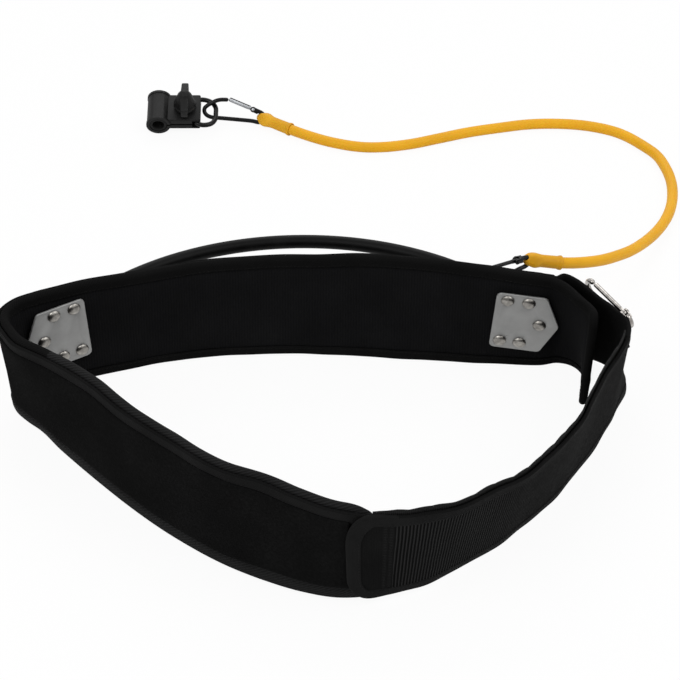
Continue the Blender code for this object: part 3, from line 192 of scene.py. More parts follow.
hardLooks = {
    # extruded latex tube: warm amber yellow, satin, lets a little light in
    "amberLatex": {"colours": "#db9f0c #e1a40f #e6a917", "drift": 35.0, "grain": 700.0, "bump": 0.12,
                   "Roughness": 0.5, "roughSpread": 0.16, "Specular IOR Level": 0.25, "Subsurface Weight": 0.1,
                   "Subsurface Scale": 0.002},
    # moulded latex sleeve: a shade duller than the tube
    "mouldedLatex": {"colours": "#c68d0e #d89d13 #e1a81e", "drift": 60.0, "grain": 900.0, "bump": 0.2,
                     "Roughness": 0.55, "roughSpread": 0.14, "Specular IOR Level": 0.25, "Subsurface Weight": 0.1,
                     "Subsurface Scale": 0.002},
    # nylon rod of the rail: black, satin, rubbed along by the hook
    "railNylon": {"colours": "#060606 #0b0b0b #121212", "drift": 40.0, "grain": 900.0, "bump": 0.1,
                  "Roughness": 0.45, "roughSpread": 0.2, "Specular IOR Level": 0.08},
    # glass filled nylon of the clamp and brackets: charcoal with a fine spark eroded grain
    "filledNylon": {"colours": "#0b0b0b #111111 #191919", "drift": 90.0, "grain": 1800.0, "bump": 0.5,
                    "Roughness": 0.5, "roughSpread": 0.15, "Specular IOR Level": 0.16},
    # zinc plated sheet steel: pale grey, dull, with cloudy plating
    "platedSteel": {"colours": "#8b8b8a #949493 #9e9e9d", "drift": 60.0, "grain": 1500.0, "bump": 0.15,
                    "Metallic": 0.7, "Roughness": 0.5, "roughSpread": 0.2},
    # nickel plated rivet: smooth, a soft warm shine
    "nickelRivet": {"colours": "#76736f #8d8a85 #a5a29c", "drift": 300.0, "grain": 1500.0, "bump": 0.08,
                    "Metallic": 1.0, "Roughness": 0.34, "roughSpread": 0.12},
    # black electrocoat on the small hooks' wire: deep black, glossy
    "blackCoat": {"colours": "#040404 #080808 #101010", "drift": 220.0, "grain": 1600.0, "bump": 0.1,
                  "Roughness": 0.22, "roughSpread": 0.14, "Specular IOR Level": 0.16},
    # satin aluminium of the far gate: pale, with a wide soft gleam
    "satinAluminium": {"colours": "#8a8c8f #9fa1a4 #b4b6b9", "drift": 160.0, "grain": 1400.0,
                       "bump": 0.1, "Metallic": 1.0, "Roughness": 0.34, "roughSpread": 0.14},
    # polished stainless wire of the large hook: narrow bright gleams
    "polishedSteel": {"colours": "#7d7976 #9d9995 #c2beba", "drift": 200.0, "grain": 1600.0,
                      "bump": 0.05, "Metallic": 1.0, "Roughness": 0.16, "roughSpread": 0.08},
    # soft black rubber lining of the clamp: dull, no gleam
    "linerRubber": {"colours": "#0a0a0a #101010 #171717", "drift": 150.0, "grain": 1200.0, "bump": 0.3,
                    "Roughness": 0.6, "roughSpread": 0.1, "Specular IOR Level": 0.15},
    # zinc plated screw and nut: pale, cool and fairly bright
    "zincScrew": {"colours": "#8f9194 #a7a9ac #bdbfc2", "drift": 250.0, "grain": 1500.0, "bump": 0.1,
                  "Metallic": 1.0, "Roughness": 0.3, "roughSpread": 0.14},
}
finish = {name: clothMaterial(name, look) for name, look in clothLooks.items()}
finish.update({name: hardMaterial(name, look) for name, look in hardLooks.items()})
print("materials made:", len(finish))


def putObject(name, mesh, body, *replaced):
    # link a finished piece, say what it rides on and which nodes it stands for
    mesh.name = name
    piece = link(name, mesh)
    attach(piece, body)
    if replaced:
        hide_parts(*replaced)
    return piece


def closed(points):
    return np.concatenate([points, points[:1]])


def pairs(first, second):
    # rows of two, where either may be a single number
    return np.stack(np.broadcast_arrays(first, second), -1)


def unit(rows):
    return rows / np.linalg.norm(rows, axis=1)[:, None]


def runLength(points):
    # length from the first point to each: the sum of the distances |p(i + 1) - p(i)|
    return np.concatenate([[0.0], np.cumsum(np.linalg.norm(np.diff(points, axis=0), axis=1))])


def sampled(at, known, rows):
    # every column of the rows read at new lengths
    return np.stack([np.interp(at, known, rows[:, k]) for k in range(rows.shape[1])], -1)


def clothMap(along, outline):
    # map in metres: a length for each row, the distance round the outline for each column
    return along[:, None] * mm, runLength(closed(outline))[None, :] * mm


def startMesh(points, faces, finishes):
    mesh = bpy.data.meshes.new("mesh")
    mesh.from_pydata(points.reshape(-1, 3).tolist(), [], faces)
    for name in finishes:
        mesh.materials.append(finish[name])
    mesh.polygons.foreach_set("use_smooth", np.ones(len(mesh.polygons), bool))
    return mesh


def faceOutwards(mesh):
    work = bmesh.new()
    work.from_mesh(mesh)
    bmesh.ops.recalc_face_normals(work, faces=work.faces)
    work.to_mesh(mesh)
    work.free()
    return mesh


def gridMesh(points, finishes=(), ringed=False, cloth=None, pick=None):
    # closed mesh over points[row, column] in metres: round in its columns, capped or ringed in its rows
    rows, columns = points.shape[:2]
    i = np.arange(rows if ringed else rows - 1)[:, None]
    j = np.arange(columns)[None, :]
    k, n = (j + 1) % columns, (i + 1) % rows
    quads = np.stack(np.broadcast_arrays(i * columns + j, i * columns + k, n * columns + k, n * columns + j), -1)
    faces = quads.reshape(-1, 4).tolist()
    if not ringed:
        faces += [list(range(columns)), list(range(rows * columns - 1, (rows - 1) * columns - 1, -1))]
    mesh = startMesh(points, faces, finishes)
    if cloth is not None:
        uv = np.stack(np.broadcast_arrays(*cloth), -1)
        loops = np.stack([uv[i, j], uv[i, j + 1], uv[i + 1, j + 1], uv[i + 1, j]], 2).reshape(-1, 2)
        if not ringed:
            loops = np.concatenate([loops, uv[0, :columns], uv[rows - 1, columns - 1::-1]])
        mesh.uv_layers.new(name="cloth").data.foreach_set("uv", loops.astype(np.float32).ravel())
    if pick is not None:
        caps = [] if ringed else [np.ravel(pick)[0]] * 2
        index = np.append(np.broadcast_to(pick, quads.shape[:2]), caps)
        mesh.polygons.foreach_set("material_index", index.astype(np.int32))
    return faceOutwards(mesh)


def place(matrix, points):
    # points in a part's own millimetres to metres in the frame
    points = np.asarray(points, float)
    turned = points.reshape(-1, 3) @ np.array(matrix.to_3x3()).T + np.array(matrix.translation)
    return ((turned + shift) * mm).reshape(points.shape)


def axesAt(origin, xAxis, yAxis):
    # placement from an origin and two axes, the second made square to the first, in millimetres
    x = Vector(xAxis).normalized()
    y = Vector(yAxis)
    y = (y - x * x.dot(y)).normalized()
    matrix = Matrix((x, y, x.cross(y))).transposed().to_4x4()
    matrix.translation = Vector(origin)
    return matrix


def hermite(p, knots, u):
    # cubic Hermite curve through the points p at each u, its slopes m from the neighbours; t runs 0 to 1 in a span:
    # (2t^3 - 3t^2 + 1) p0 + (t^3 - 2t^2 + t) m0 + (3t^2 - 2t^3) p1 + (t^3 - t^2) m1
    slopes = np.gradient(p, knots, axis=0, edge_order=2)
    i = np.clip(np.searchsorted(knots, u, side="right") - 1, 0, len(knots) - 2)
    span = (knots[i + 1] - knots[i])[:, None]
    t = (u - knots[i])[:, None] / span
    return ((2 * t**3 - 3 * t**2 + 1) * p[i] + (t**3 - 2 * t**2 + t) * slopes[i] * span
            + (3 * t**2 - 2 * t**3) * p[i + 1] + (t**3 - t**2) * slopes[i + 1] * span)


def smoothRoute(points, count, ringed=False):
    # Hermite curve with chord-length knots, its points spaced evenly by length
    p = np.array(points, float)
    if ringed:
        p = np.concatenate([p[-3:], p, p[:3]])
    knots = runLength(p)
    low, high = (knots[3], knots[-3]) if ringed else (0.0, knots[-1])
    fine = hermite(p, knots, np.linspace(low, high, 4000))  # many short steps, to measure the length along it
    run = runLength(fine)
    return sampled(np.linspace(0.0, run[-1], count + ringed)[:count], run, fine)


def planRoute(points, count):
    # Hermite curve with knots by length in plan, its points even in the parameter
    p = np.array(points, float)
    knots = runLength(p[:, :2])
    return hermite(p, knots, np.linspace(0.0, knots[-1], count))


def wireGrid(line, radius, sides, ringed=False):
    # round bar: p(i, a) = line(i) + r(i) (cos a side + sin a other), the side carried along without twist
    p = np.array(line, float)
    along = unit(np.gradient(np.concatenate([p[-2:], p, p[:2]]), axis=0)[2:-2] if ringed else np.gradient(p, axis=0))
    side = np.cross(along[0], (0.0, 0.0, 1.0))
    if np.linalg.norm(side) < 0.1:
        side = np.cross(along[0], (0.0, 1.0, 0.0))
    first = []
    for step in along:
        side = side - step * (side @ step)
        side = side / np.linalg.norm(side)
        first.append(side)
    first = np.array(first)
    other = np.cross(along, first)
    if ringed:  # spread the small turn left at the closing over the whole ring
        back = first[-1] - along[0] * (first[-1] @ along[0])
        miss = math.atan2(float(np.cross(back, first[0]) @ along[0]), float(back @ first[0]))
        turn = np.linspace(0.0, miss, len(p))[:, None]
        first, other = np.cos(turn) * first + np.sin(turn) * other, np.cos(turn) * other - np.sin(turn) * first
    angle = np.linspace(0.0, 2 * math.pi, sides, endpoint=False)[None, :, None]
    size = np.broadcast_to(radius, (len(p),))[:, None, None]
    return p[:, None] + size * (np.cos(angle) * first[:, None] + np.sin(angle) * other[:, None])


def roundedEnds(line, radius, steps=5):
    # the same bar with its ends drawn in over a quarter circle
    p = np.array(line, float)
    run = runLength(p)
    ease = radius * (1 - np.cos(np.linspace(0.12, math.pi / 2, steps)))
    inner = run[(run > radius * 1.1) & (run < run[-1] - radius * 1.1)]
    wanted = np.concatenate([ease, inner, (run[-1] - ease)[::-1]])
    near = np.minimum(np.minimum(wanted, run[-1] - wanted), radius)
    return sampled(wanted, run, p), np.sqrt(np.maximum(radius**2 - (radius - near)**2, 0.0))


def turnGrid(profile, sides):
    # solid of revolution: p(i, a) = (r(i) cos a, r(i) sin a, z(i)), with a pinhole radius at its poles
    profile = np.array(profile, float)
    angle = np.linspace(0.0, 2 * math.pi, sides, endpoint=False)
    radius = np.maximum(profile[:, 0], 0.02)[:, None]
    return np.stack(np.broadcast_arrays(radius * np.cos(angle), radius * np.sin(angle), profile[:, 1, None]), -1)


def roundCorners(profile, ease, steps=4):
    # each inner corner q becomes the curve (1 - t)^2 a + 2 t (1 - t) q + t^2 b between points a and b beside it
    p = np.array(profile, float)
    sides = p[:-2] - p[1:-1], p[2:] - p[1:-1]
    sizes = [np.linalg.norm(side, axis=1) for side in sides]
    cut = np.minimum(ease, 0.45 * np.minimum(*sizes))[:, None]
    first, last = (p[1:-1] + side / size[:, None] * cut for side, size in zip(sides, sizes))
    t = np.linspace(0.0, 1.0, steps)[None, :, None]
    curve = (1 - t)**2 * first[:, None] + 2 * t * (1 - t) * p[1:-1, None] + t**2 * last[:, None]
    return np.concatenate([p[:1], curve.reshape(-1, p.shape[1]), p[-1:]])


def hull(points, ease=0.0, steps=2):
    # convex helper solid round points in metres, its edges eased
    work = bmesh.new()
    for point in points:
        work.verts.new(point)
    bmesh.ops.convex_hull(work, input=work.verts)
    if ease:
        bmesh.ops.dissolve_limit(work, angle_limit=0.01, verts=work.verts, edges=work.edges)
        bmesh.ops.bevel(work, geom=list(work.edges), offset=ease, segments=steps, affect="EDGES", profile=0.5)
    bmesh.ops.recalc_face_normals(work, faces=work.faces)
    mesh = bpy.data.meshes.new("helper")
    work.to_mesh(mesh)
    work.free()
    return link("helper", mesh)


def boxPoints(at, low, high):
    return place(at, [(x, y, z) for x in (low[0], high[0]) for y in (low[1], high[1]) for z in (low[2], high[2])])


def rodPoints(at, radius, start, end, sides=48):
    # straight round bar between two points of a part, in metres
    return place(at, wireGrid(np.linspace(np.array(start, float), np.array(end, float), 2), radius, sides))


def box(at, low, high, ease=0.0, steps=2):
    return hull(boxPoints(at, low, high), ease, steps)


def rod(at, radius, start, end, sides=48):
    return link("helper", gridMesh(rodPoints(at, radius, start, end, sides)))


def carve(mesh, joined, cut, ease, angle, name):
    # joins helpers to a mesh, cuts others from it, eases its edges, gives it one finish; the helpers are taken away
    piece = link("carved", mesh)
    for helper in joined + cut:
        change = piece.modifiers.new("step", "BOOLEAN")
        change.operation = "UNION" if helper in joined else "DIFFERENCE"
        change.solver = "EXACT"
        change.object = helper
    if ease:
        edge = piece.modifiers.new("edge", "BEVEL")
        edge.width, edge.segments, edge.angle_limit = ease, 2, math.radians(angle)
    bpy.context.view_layer.update()
    made = bpy.data.meshes.new_from_object(piece.evaluated_get(bpy.context.evaluated_depsgraph_get()))
    for helper in [piece] + joined + cut:
        bpy.data.objects.remove(helper)
    made.polygons.foreach_set("use_smooth", np.ones(len(made.polygons), bool))
    made.set_sharp_from_angle(angle=math.radians(angle))
    made.materials.clear()
    made.materials.append(finish[name])
    made.polygons.foreach_set("material_index", np.zeros(len(made.polygons), np.int32))
    return made


def putSharp(name, points, look, body, *replaced, ringed=False):
    # a turned piece with crisp rims
    mesh = gridMesh(points, [look], ringed)
    mesh.set_sharp_from_angle(angle=math.radians(40))
    return putObject(name, mesh, body, *replaced)


def finishCopy(node, look, body, name, ease):
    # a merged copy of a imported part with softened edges
    work = bmesh.new()
    work.from_mesh(nodes[node].data)
    bmesh.ops.remove_doubles(work, verts=work.verts, dist=1e-6)
    bmesh.ops.dissolve_limit(work, angle_limit=math.radians(0.5), verts=work.verts, edges=work.edges)
    mesh = bpy.data.meshes.new(name)
    work.to_mesh(mesh)
    work.free()
    putObject(name, carve(mesh, [], [], ease, 30.0, look), body, node)


# resistance tube, the cord between the rail hook and the clamp's hook
tube = {
    "radius": 4.7, "socket": 4.7,
    "route": [(-44.3, 315.0, 6.0), (-30, 306.7, 5.2), (-4, 294, 4.8), (23, 287, 4.8), (35, 287, 4.8), (62, 292, 4.8),
              (89, 302, 4.8), (115, 312, 4.8), (144, 320, 4.8), (171, 326, 4.8), (198, 327, 4.8), (225, 323, 4.8),
              (250, 312, 4.8), (272, 289, 4.8), (282, 274, 4.8), (288, 254, 4.8), (291, 232, 4.8), (290, 207, 4.8),
              (285, 181.3, 6.0), (277, 158.2, 8.3), (266.5, 135.9, 11.8), (254.8, 115.2, 16.5), (242.8, 96.5, 22),
              (229.8, 80.1, 28), (216.4, 64.8, 34.5), (203, 53, 40.5), (189.8, 43.7, 46), (179.8, 38.1, 50)],
    "farHole": (-69.4, 331.8, 7.2), "nearHole": (154.4, 32.2, 57.0),
}


def makeTube():
    # the cord's middle line: the route, with both ends drawn on into the cuffs
    line = smoothRoute(tube["route"], 150)
    ends = []
    for end, hole in ((line[0], tube["farHole"]), (line[-1], tube["nearHole"])):
        way = np.array(hole) - end
        ends.append(end + way / np.linalg.norm(way) * tube["socket"])
    line = np.concatenate([[ends[0]], line, [ends[1]]])[::-1]
    curve = bpy.data.curves.new("resistanceTube", "CURVE")
    curve.dimensions = "3D"
    curve.bevel_depth = tube["radius"] * mm
    curve.bevel_resolution = 6
    curve.use_fill_caps = True
    spline = curve.splines.new("POLY")
    spline.points.add(len(line) - 1)
    points = (line + shift) * mm
    spline.points.foreach_set("co", np.column_stack([points, np.ones(len(points))]).ravel())
    spline.use_smooth = True
    curve.materials.append(finish["amberLatex"])
    piece = putObject("resistanceTube", curve, "tube_line", "resistance_tube")
    return piece, points, float(np.linalg.norm(np.diff(line, axis=0), axis=1).sum()) * mm


tubePiece, tubePoints, tubeLength = makeTube()
print("tube laid, length", round(tubeLength * 1000, 1), "mm")

# the belt's own surfaces: half thicknesses, heights, offsets from the padded belt and lengths along it
belt = {
    "height": 100.0, "rows": 620, "rowSpan": 24.0, "rowsPerTurn": 2.7,
    "padHalf": 3.5, "rimHalf": 1.9, "tapeReach": 9.6, "corner": 12.0, "padMore": 7.0, "padCorner": 20.0,
    "twillFrom": 598.0, "strapHalf": 1.2, "strapLow": 3.0, "strapHigh": 97.0, "strapOffset": 5.2,
    "strapLeaves": 76.0, "strapStops": 12.0, "closureOffset": 12.1, "closureRaise": 4.0, "closureFrom": 26.0,
    "tip": 13.0, "tipTop": (22.0, 36.0), "tipLow": (17.0, 24.0), "plainEnd": 46.0, "broadBand": 362.0,
    # outline of the sewn band along the strap's edge: up from the edge, outward
    "bandRim": [(0.0, -0.7), (0.0, 0.9), (0.5, 1.5), (1.2, 1.65), (8.0, 1.65), (8.8, 1.85), (9.4, 1.6), (9.9, 1.2)],
    # bottom centre x, y, lift of the lower edge, and how far the top stands over in x and y
    "padRoute": [
        (190, -95, 0, 4, -12), (192, -81, 0, 2, -15), (195, -66, 0, -5, -20), (197, -54, 0, -12, -23),
        (194, -43, 0, -14, -24), (186, -34, 0, -12, -24), (174, -30, 0, -8, -22), (161, -33, 0, -4, -17),
        (148, -33, 0, -2, -15), (135, -32, 0, -1, -13), (121, -31, 0, -1, -10), (106, -30, 0, 0, -8),
        (76, -27, 0, 0, -4), (45, -24, 0, 0, -2), (15, -21, 0, 0, -2), (-16, -19, 0, 0, -6),
        (-47, -18, 0, 1, -7), (-77, -19, 0, 1, -9), (-107, -22, 0, 1, -10), (-136, -28, 0, 2, -12),
        (-170, -39, 0, 0, -12), (-198, -49, 0, -2, -11), (-215, -57, 0, -3, -11), (-232, -65, 0, -3, -11),
        (-245, -73, 0, -4, -12), (-251, -83, 0, -5, -13), (-248, -95, 0, -8, -13), (-239, -107, 0, -12, -12),
        (-227, -119, 0, -17, -11),
        (-211, -142, 0, -10, -7), (-194, -164, 0, -5, -4), (-176, -186, 0, -3, -2), (-157, -208, 0, -4, -3),
        (-118, -248, 0, -3, -3), (-75, -282, 0, -4, -5), (-51, -296, 0, -2, -3), (-26, -307, 0, -3, -8),
        (0, -313, 0, -3, -15), (20, -311.0, 0, -0.6, -21.1)],
    "freeRoute": [
        (60, -308, 3, 6, -29), (79, -294, 2, 9, -31), (98, -277, 1, 10, -32), (116, -259, 0, 11, -35),
        (132, -240, 0, 11, -37), (148, -221, 0, 12, -34), (163, -201, 0, 12, -29), (176, -180, 0, 10, -24),
        (189, -158, 0, 8, -18), (200, -135, 0, 10, -14), (209, -115, 0, 10, -13), (215, -98, 0, 6, -14),
        (220, -87, 0, -2, -15), (225, -76, 0, -13, -16), (227, -64, 0, -21, -17), (224, -50, 0, -25, -20),
        (216, -39, 0, -24, -20), (204, -30, 0, -20, -19), (190, -25, 0, -15, -18)],
}


def spreadRows(fine):
    # indices of rows spaced wide on the straights and close in the bends
    middle = fine[:, :2] + fine[:, 3:5] / 2
    step = np.gradient(middle, axis=0)
    heading = np.unwrap(np.arctan2(step[:, 1], step[:, 0]))
    turning = belt["rowsPerTurn"] * np.abs(np.gradient(heading))
    need = np.cumsum(np.linalg.norm(step, axis=1) / belt["rowSpan"] + turning)
    wanted = np.linspace(need[0], need[-1], int(round(need[-1] - need[0])) + 1)
    return np.unique(np.searchsorted(need, wanted).clip(0, len(fine) - 1))


def stripFrom(rows):
    # belt surface: base line, rising direction and outward direction at each row
    base = rows[:, :3].copy()
    over = rows[:, 3:5]
    rise = np.column_stack([over, np.sqrt(belt["height"]**2 - (over**2).sum(1))]) / belt["height"]
    along = np.gradient(base + rise * belt["height"] / 2, axis=0)
    return {"base": base, "rise": rise, "out": unit(np.cross(along, rise)), "length": runLength(base[:, :2]),
            "shift": np.zeros(len(base))}


def onStrip(strip, s, h, o):
    # point at length s along the belt, height h up it and distance o outward, in metres:
    # base(s) + h rise(s) + (o + shift(s)) out(s), with the outward direction level at the lower edge
    s, h, o = np.broadcast_arrays(np.asarray(s, float), np.asarray(h, float), np.asarray(o, float))
    base, rise, out = (sampled(s, strip["length"], strip[name]) for name in ("base", "rise", "out"))
    out[..., 2] = out[..., 2] * np.clip(h / 10.0, 0.0, 1.0)
    away = o + np.interp(s, strip["length"], strip["shift"])
    return (base + rise * h[..., None] + out * away[..., None] + shift) * mm


def ripple(s, h, seed):
    # soft unevenness of sewn cloth, -1 to 1: a sum of four long sines along and up the belt
    a = np.sin(s / 31.0 + seed) * np.cos(h / 27.0 + 0.7 * seed)
    b = np.sin(s / 13.7 + 2.1 * seed + h / 19.0)
    c = np.sin(s / 7.3 - h / 11.0 + 0.4 * seed)
    d = np.sin(s / 61.0 + 1.3 * seed)
    return 0.35 * a + 0.25 * b + 0.12 * c + 0.28 * d


padFine = planRoute(belt["padRoute"], 2400)
padCoarse = stripFrom(padFine[spreadRows(padFine)])
pad = stripFrom(padFine[::3])
padEnd = float(padCoarse["length"][-1])
padFar = padEnd + belt["padMore"]
pad["length"] = pad["length"] * padEnd / pad["length"][-1]
step = pad["base"][-1] - pad["base"][-2]
last = {"base": pad["base"][-1] + step / np.linalg.norm(step) * belt["padMore"], "rise": pad["rise"][-1],
        "out": pad["out"][-1], "length": padFar, "shift": 0.0}
pad = {key: np.concatenate([pad[key], [last[key]]]) for key in pad}


def makeStrap():
    # on the padded belt round the back and the left arm, free from the right corner to the closure
    leave, stop, over = (int(np.searchsorted(padCoarse["length"], length)) for length in (
        belt["strapLeaves"], padEnd - belt["strapStops"], padEnd - belt["closureFrom"]))
    flatOut = padCoarse["out"] * np.array([1.0, 1.0, 0.0])
    hugging = np.column_stack([padCoarse["base"], padCoarse["rise"][:, :2] * belt["height"]])
    overlap = hugging[over::2].copy()
    overlap[:, :3] += flatOut[over::2] * belt["closureOffset"]
    overlap[:, 2] += belt["closureRaise"]
    joining = hugging[leave:leave + 3].copy()
    joining[:, :3] += flatOut[leave:leave + 3] * belt["strapOffset"]
    fine = planRoute(np.concatenate([overlap, belt["freeRoute"], joining]), 2400)
    meet = int(np.argmin(np.linalg.norm(fine[:, :2] - joining[0, :2], axis=1)))
    free = stripFrom(fine[:meet - 14:4])
    keep = (pad["length"] >= padCoarse["length"][leave]) & (pad["length"] <= padCoarse["length"][stop])
    strap = {key: np.concatenate([free[key], pad[key][keep]]) for key in ("base", "rise", "out")}
    strap["shift"] = np.concatenate([np.zeros(len(free["base"])), np.full(int(keep.sum()), belt["strapOffset"])])
    seat = strap["base"] + strap["out"] * strap["shift"][:, None]
    strap["length"] = runLength(seat[:, :2])
    return strap, float(free["length"][-1])


strap, freeEnd = makeStrap()
strapEnd = float(strap["length"][-1])
print("belt", round(padEnd, 1), "mm, strap", round(strapEnd, 1), "mm, free to", round(freeEnd, 1))


def cornerCut(fromEnd, along, up=None):
    # how much a round or oval corner takes off the height at a distance from the end: b (1 - sqrt(1 - (1 - d/a)^2))
    part = np.clip(1.0 - fromEnd / along, 0.0, 1.0)
    return (up or along) * (1.0 - np.sqrt(1.0 - part**2))


def twoFaces(heights, first, second):
    # outline of a flat layer: up along one face and down along the other
    up, down = (pairs(heights, face) for face in (first, second))
    return np.concatenate([up, down[::-1]])


def layerMesh(strip, lengths, section, low, high, finishes, cut=None, pick=None, wave=None):
    # closed strip: section[k] = (height, outward), squeezed by what the ends' corners cut off below and above
    below, above = (np.zeros((2, len(lengths))) if cut is None else np.array(cut))[..., None]
    heights = low + below + (section[None, :, 0] - low) * (high - low - below - above) / (high - low)
    outward = np.repeat(section[None, :, 1], len(lengths), 0)
    if wave is not None:
        heights, outward = wave(lengths[:, None], heights, outward)
    points = onStrip(strip, lengths[:, None], heights, outward)
    return gridMesh(points, finishes, cloth=clothMap(np.append(lengths, lengths[-1]), section), pick=pick)


def endLengths(start, end, near, far, rows):
    # rows along a strip, close together where an end is rounded
    ease = 1 - np.cos(np.radians(np.linspace(0.0, 90.0, 14)))
    inner = np.linspace(start + near + 1.0, end - far - 1.0 if far else end, rows)
    return np.concatenate([start + near * ease, inner] + ([(end - far * ease)[::-1]] if far else []))


def makePad():
    # ribbed cloth over foam, drawn in along its edges under the tape; crown(h) = 2.5 + 1 - |2h / width|^8
    rim, margin = belt["rimHalf"], 1.6
    low, high = margin, belt["height"] - margin
    h = np.linspace(10.6, 89.4, 40)
    crown = 2.5 + 1.0 * (1 - np.abs(2 * (h - 50.0) / 78.8)**8)
    edge = np.array([margin, 5.0, 9.0])
    inner = np.concatenate([pairs(edge, -rim), pairs(h, -crown), pairs(100.0 - edge[::-1], -rim)])
    section = np.concatenate([inner, inner[::-1] * (1.0, -1.0)])
    near, far = belt["corner"] - margin, belt["padCorner"] - margin
    lengths = endLengths(margin, padFar - margin, near, far, belt["rows"])
    fromStart, toEnd = lengths - lengths[0], lengths[-1] - lengths
    cut = np.maximum(cornerCut(fromStart, near), cornerCut(toEnd, far))

    def wave(s, heights, outward):
        # ends and edges stay in the tape; between them the faces rise and sink a little
        thin = np.clip((np.minimum(fromStart, toEnd)[:, None] - 8.0) / 6.0, 0.0, 1.0)
        outward = np.sign(outward) * (rim + (np.abs(outward) - rim) * thin)
        body = np.clip((np.abs(outward) - 2.4) / 1.0, 0.0, 1.0)
        return heights, outward - 0.3 * body * (1 - ripple(s, heights, 1.0 + (outward > 0)))

    mesh = layerMesh(pad, lengths, section, low, high, ["ribbedNylon"], (cut, cut), wave=wave)
    piece = putObject("paddedBelt", mesh, "belt", "padded_belt")


def tapeGrid(strip, path, inward, section, seed, wobble=0.25):
    # folded tape: p = strip(path + inward d, o), its outward distance and edge rippled a little
    away = section[None, :, 0] + 2.6 * wobble * ripple(1.5 * path[:, :1], path[:, 1:], seed)
    s = path[:, 0, None] + inward[:, 0, None] * away
    h = np.maximum(path[:, 1, None] + inward[:, 1, None] * away, 0.05)
    o = np.repeat(section[None, :, 1], len(path), 0)
    return onStrip(strip, s, h, o - wobble * np.sign(o) * (0.5 + 0.5 * ripple(s, h, seed)))


def foldSection(reach, half, thick, nose):
    # outline of tape folded over an edge: outside, round the nose, back, and the same inside it
    angle = np.radians(np.linspace(-90.0, 90.0, 11))
    outside, inside = (pairs(nose - (nose - less) * np.cos(angle), (half - less) * np.sin(angle))
                       for less in (0.0, thick))
    runs = np.linspace(nose + 0.8, reach - 0.4, 6)
    lip = [(reach, half - 0.35), (reach, half - thick)]
    back = [(reach, -half + thick), (reach, -half + 0.35)]
    return np.concatenate([pairs(runs[::-1], -half), outside, pairs(runs, half), lip, inside[::-1], back])


def padEdge():
    # closed path round the padded belt in length and height, with the direction that points into it
    def bend(along, up, corner, start):
        # quarter circle: p = centre + r (cos a, sin a)
        angle = np.radians(np.linspace(start, start + 90.0, 12))
        away = pairs(np.cos(angle), np.sin(angle))
        return np.array((along, up)) + corner * away, -away

    near, far, top, rows = belt["corner"], belt["padCorner"], belt["height"], belt["rows"]
    inner = np.linspace(near + 1.5, padFar - far - 1.5, rows)
    runs = [bend(near, top - near, near, 90.0), bend(near, near, near, 180.0),
            (pairs(inner, 0.0), np.full((rows, 2), (0.0, 1.0))),
            bend(padFar - far, far, far, 270.0), bend(padFar - far, top - far, far, 0.0),
            (pairs(inner[::-1], top), np.full((rows, 2), (0.0, -1.0)))]
    return [np.concatenate(part) for part in zip(*runs)]


# grains: pitch, length and width of a stitch; how far in from the edge each line runs; the cross seams' places
stitch = {"grain": (3.3, 2.5, 0.55), "crossGrain": (1.9, 1.0, 3.4), "tapeIn": 1.6, "strapIn": 7.6, "closureIn": 8.9,
          "crossBehind": (26.0, 30.0), "crossFrom": (13.5, 86.5)}


def sew(name, strip, path, inward, depth, outward, grain=stitch["grain"], wave=None):
    # sewn line: half grains laid end to end; p = centre + a along + b across + lift out, from a 7 by 5 grid
    pitch, length, wide = grain
    route = path + inward * depth
    run = runLength(route)
    count = int(run[-1] / pitch)
    centre = (np.arange(count) + 0.5) * run[-1] / count
    t, across = np.linspace(-1.0, 1.0, 7), np.linspace(-1.0, 1.0, 5)
    swell = (np.sqrt(np.maximum(1 - t**2, 0.0)) + 0.02)[:, None]
    a = centre[:, None, None] + (t * length / 2)[None, :, None] + 0.0 * across[None, None, :]
    b = (swell * across[None, :] * wide / 2)[None]
    lift = (swell * np.sqrt(np.maximum(1 - across**2, 0.0))[None, :] * 0.3 - 0.12)[None]
    way = unit(np.gradient(route, axis=0))
    s = np.interp(a, run, route[:, 0]) - np.interp(a, run, way[:, 1]) * b
    h = np.interp(a, run, route[:, 1]) + np.interp(a, run, way[:, 0]) * b
    o = outward + (1.0 if outward > 0 else -1.0) * lift + 0.0 * s
    if wave is not None:
        h, o = wave(s, h, o)
    points = onStrip(strip, s, h, o).reshape(-1, 3)
    quad = np.stack([np.arange(6)[:, None] * 5 + np.arange(4)[None, :] + corner for corner in (0, 1, 6, 5)], -1)
    base = np.array([[0, 5, 10, 15, 20, 25, 30, 34, 29, 24, 19, 14, 9, 4]])
    grains = np.arange(count)[:, None] * 35
    faces = (grains[..., None] + quad.reshape(1, -1, 4)).reshape(-1, 4).tolist() + (grains + base).tolist()
    mesh = faceOutwards(startMesh(points, faces, ["sewingThread"]))
    corners = np.empty(len(mesh.loops), np.int32)
    mesh.loops.foreach_get("vertex_index", corners)
    spots = points.astype(np.float32)[corners]
    uv = np.column_stack([spots[:, 0] + spots[:, 1], spots[:, 2]])
    mesh.uv_layers.new(name="cloth").data.foreach_set("uv", uv.ravel())
    putObject(name, mesh, "belt")


def makePadTape():
    # twilled along the left arm, plainer and darker round the back
    path, inward = padEdge()
    section = foldSection(belt["tapeReach"], belt["padHalf"], 0.9, 3.2)
    mesh = gridMesh(tapeGrid(pad, path, inward, section, 0.6), ["bindingTape", "plainTape"], True,
                    clothMap(runLength(closed(path)), section), (path[:, :1] < belt["twillFrom"]).astype(int))
    putObject("paddedBeltTape", mesh, "belt", "belt_edge_tape")
    for word, side in (("Inner", -1.0), ("Outer", 1.0)):
        sew("tapeStitches" + word, pad, path, inward, belt["tapeReach"] - stitch["tapeIn"],
            side * (belt["padHalf"] - 0.1))


makePad()
makePadTape()
print("padded belt and tape made")


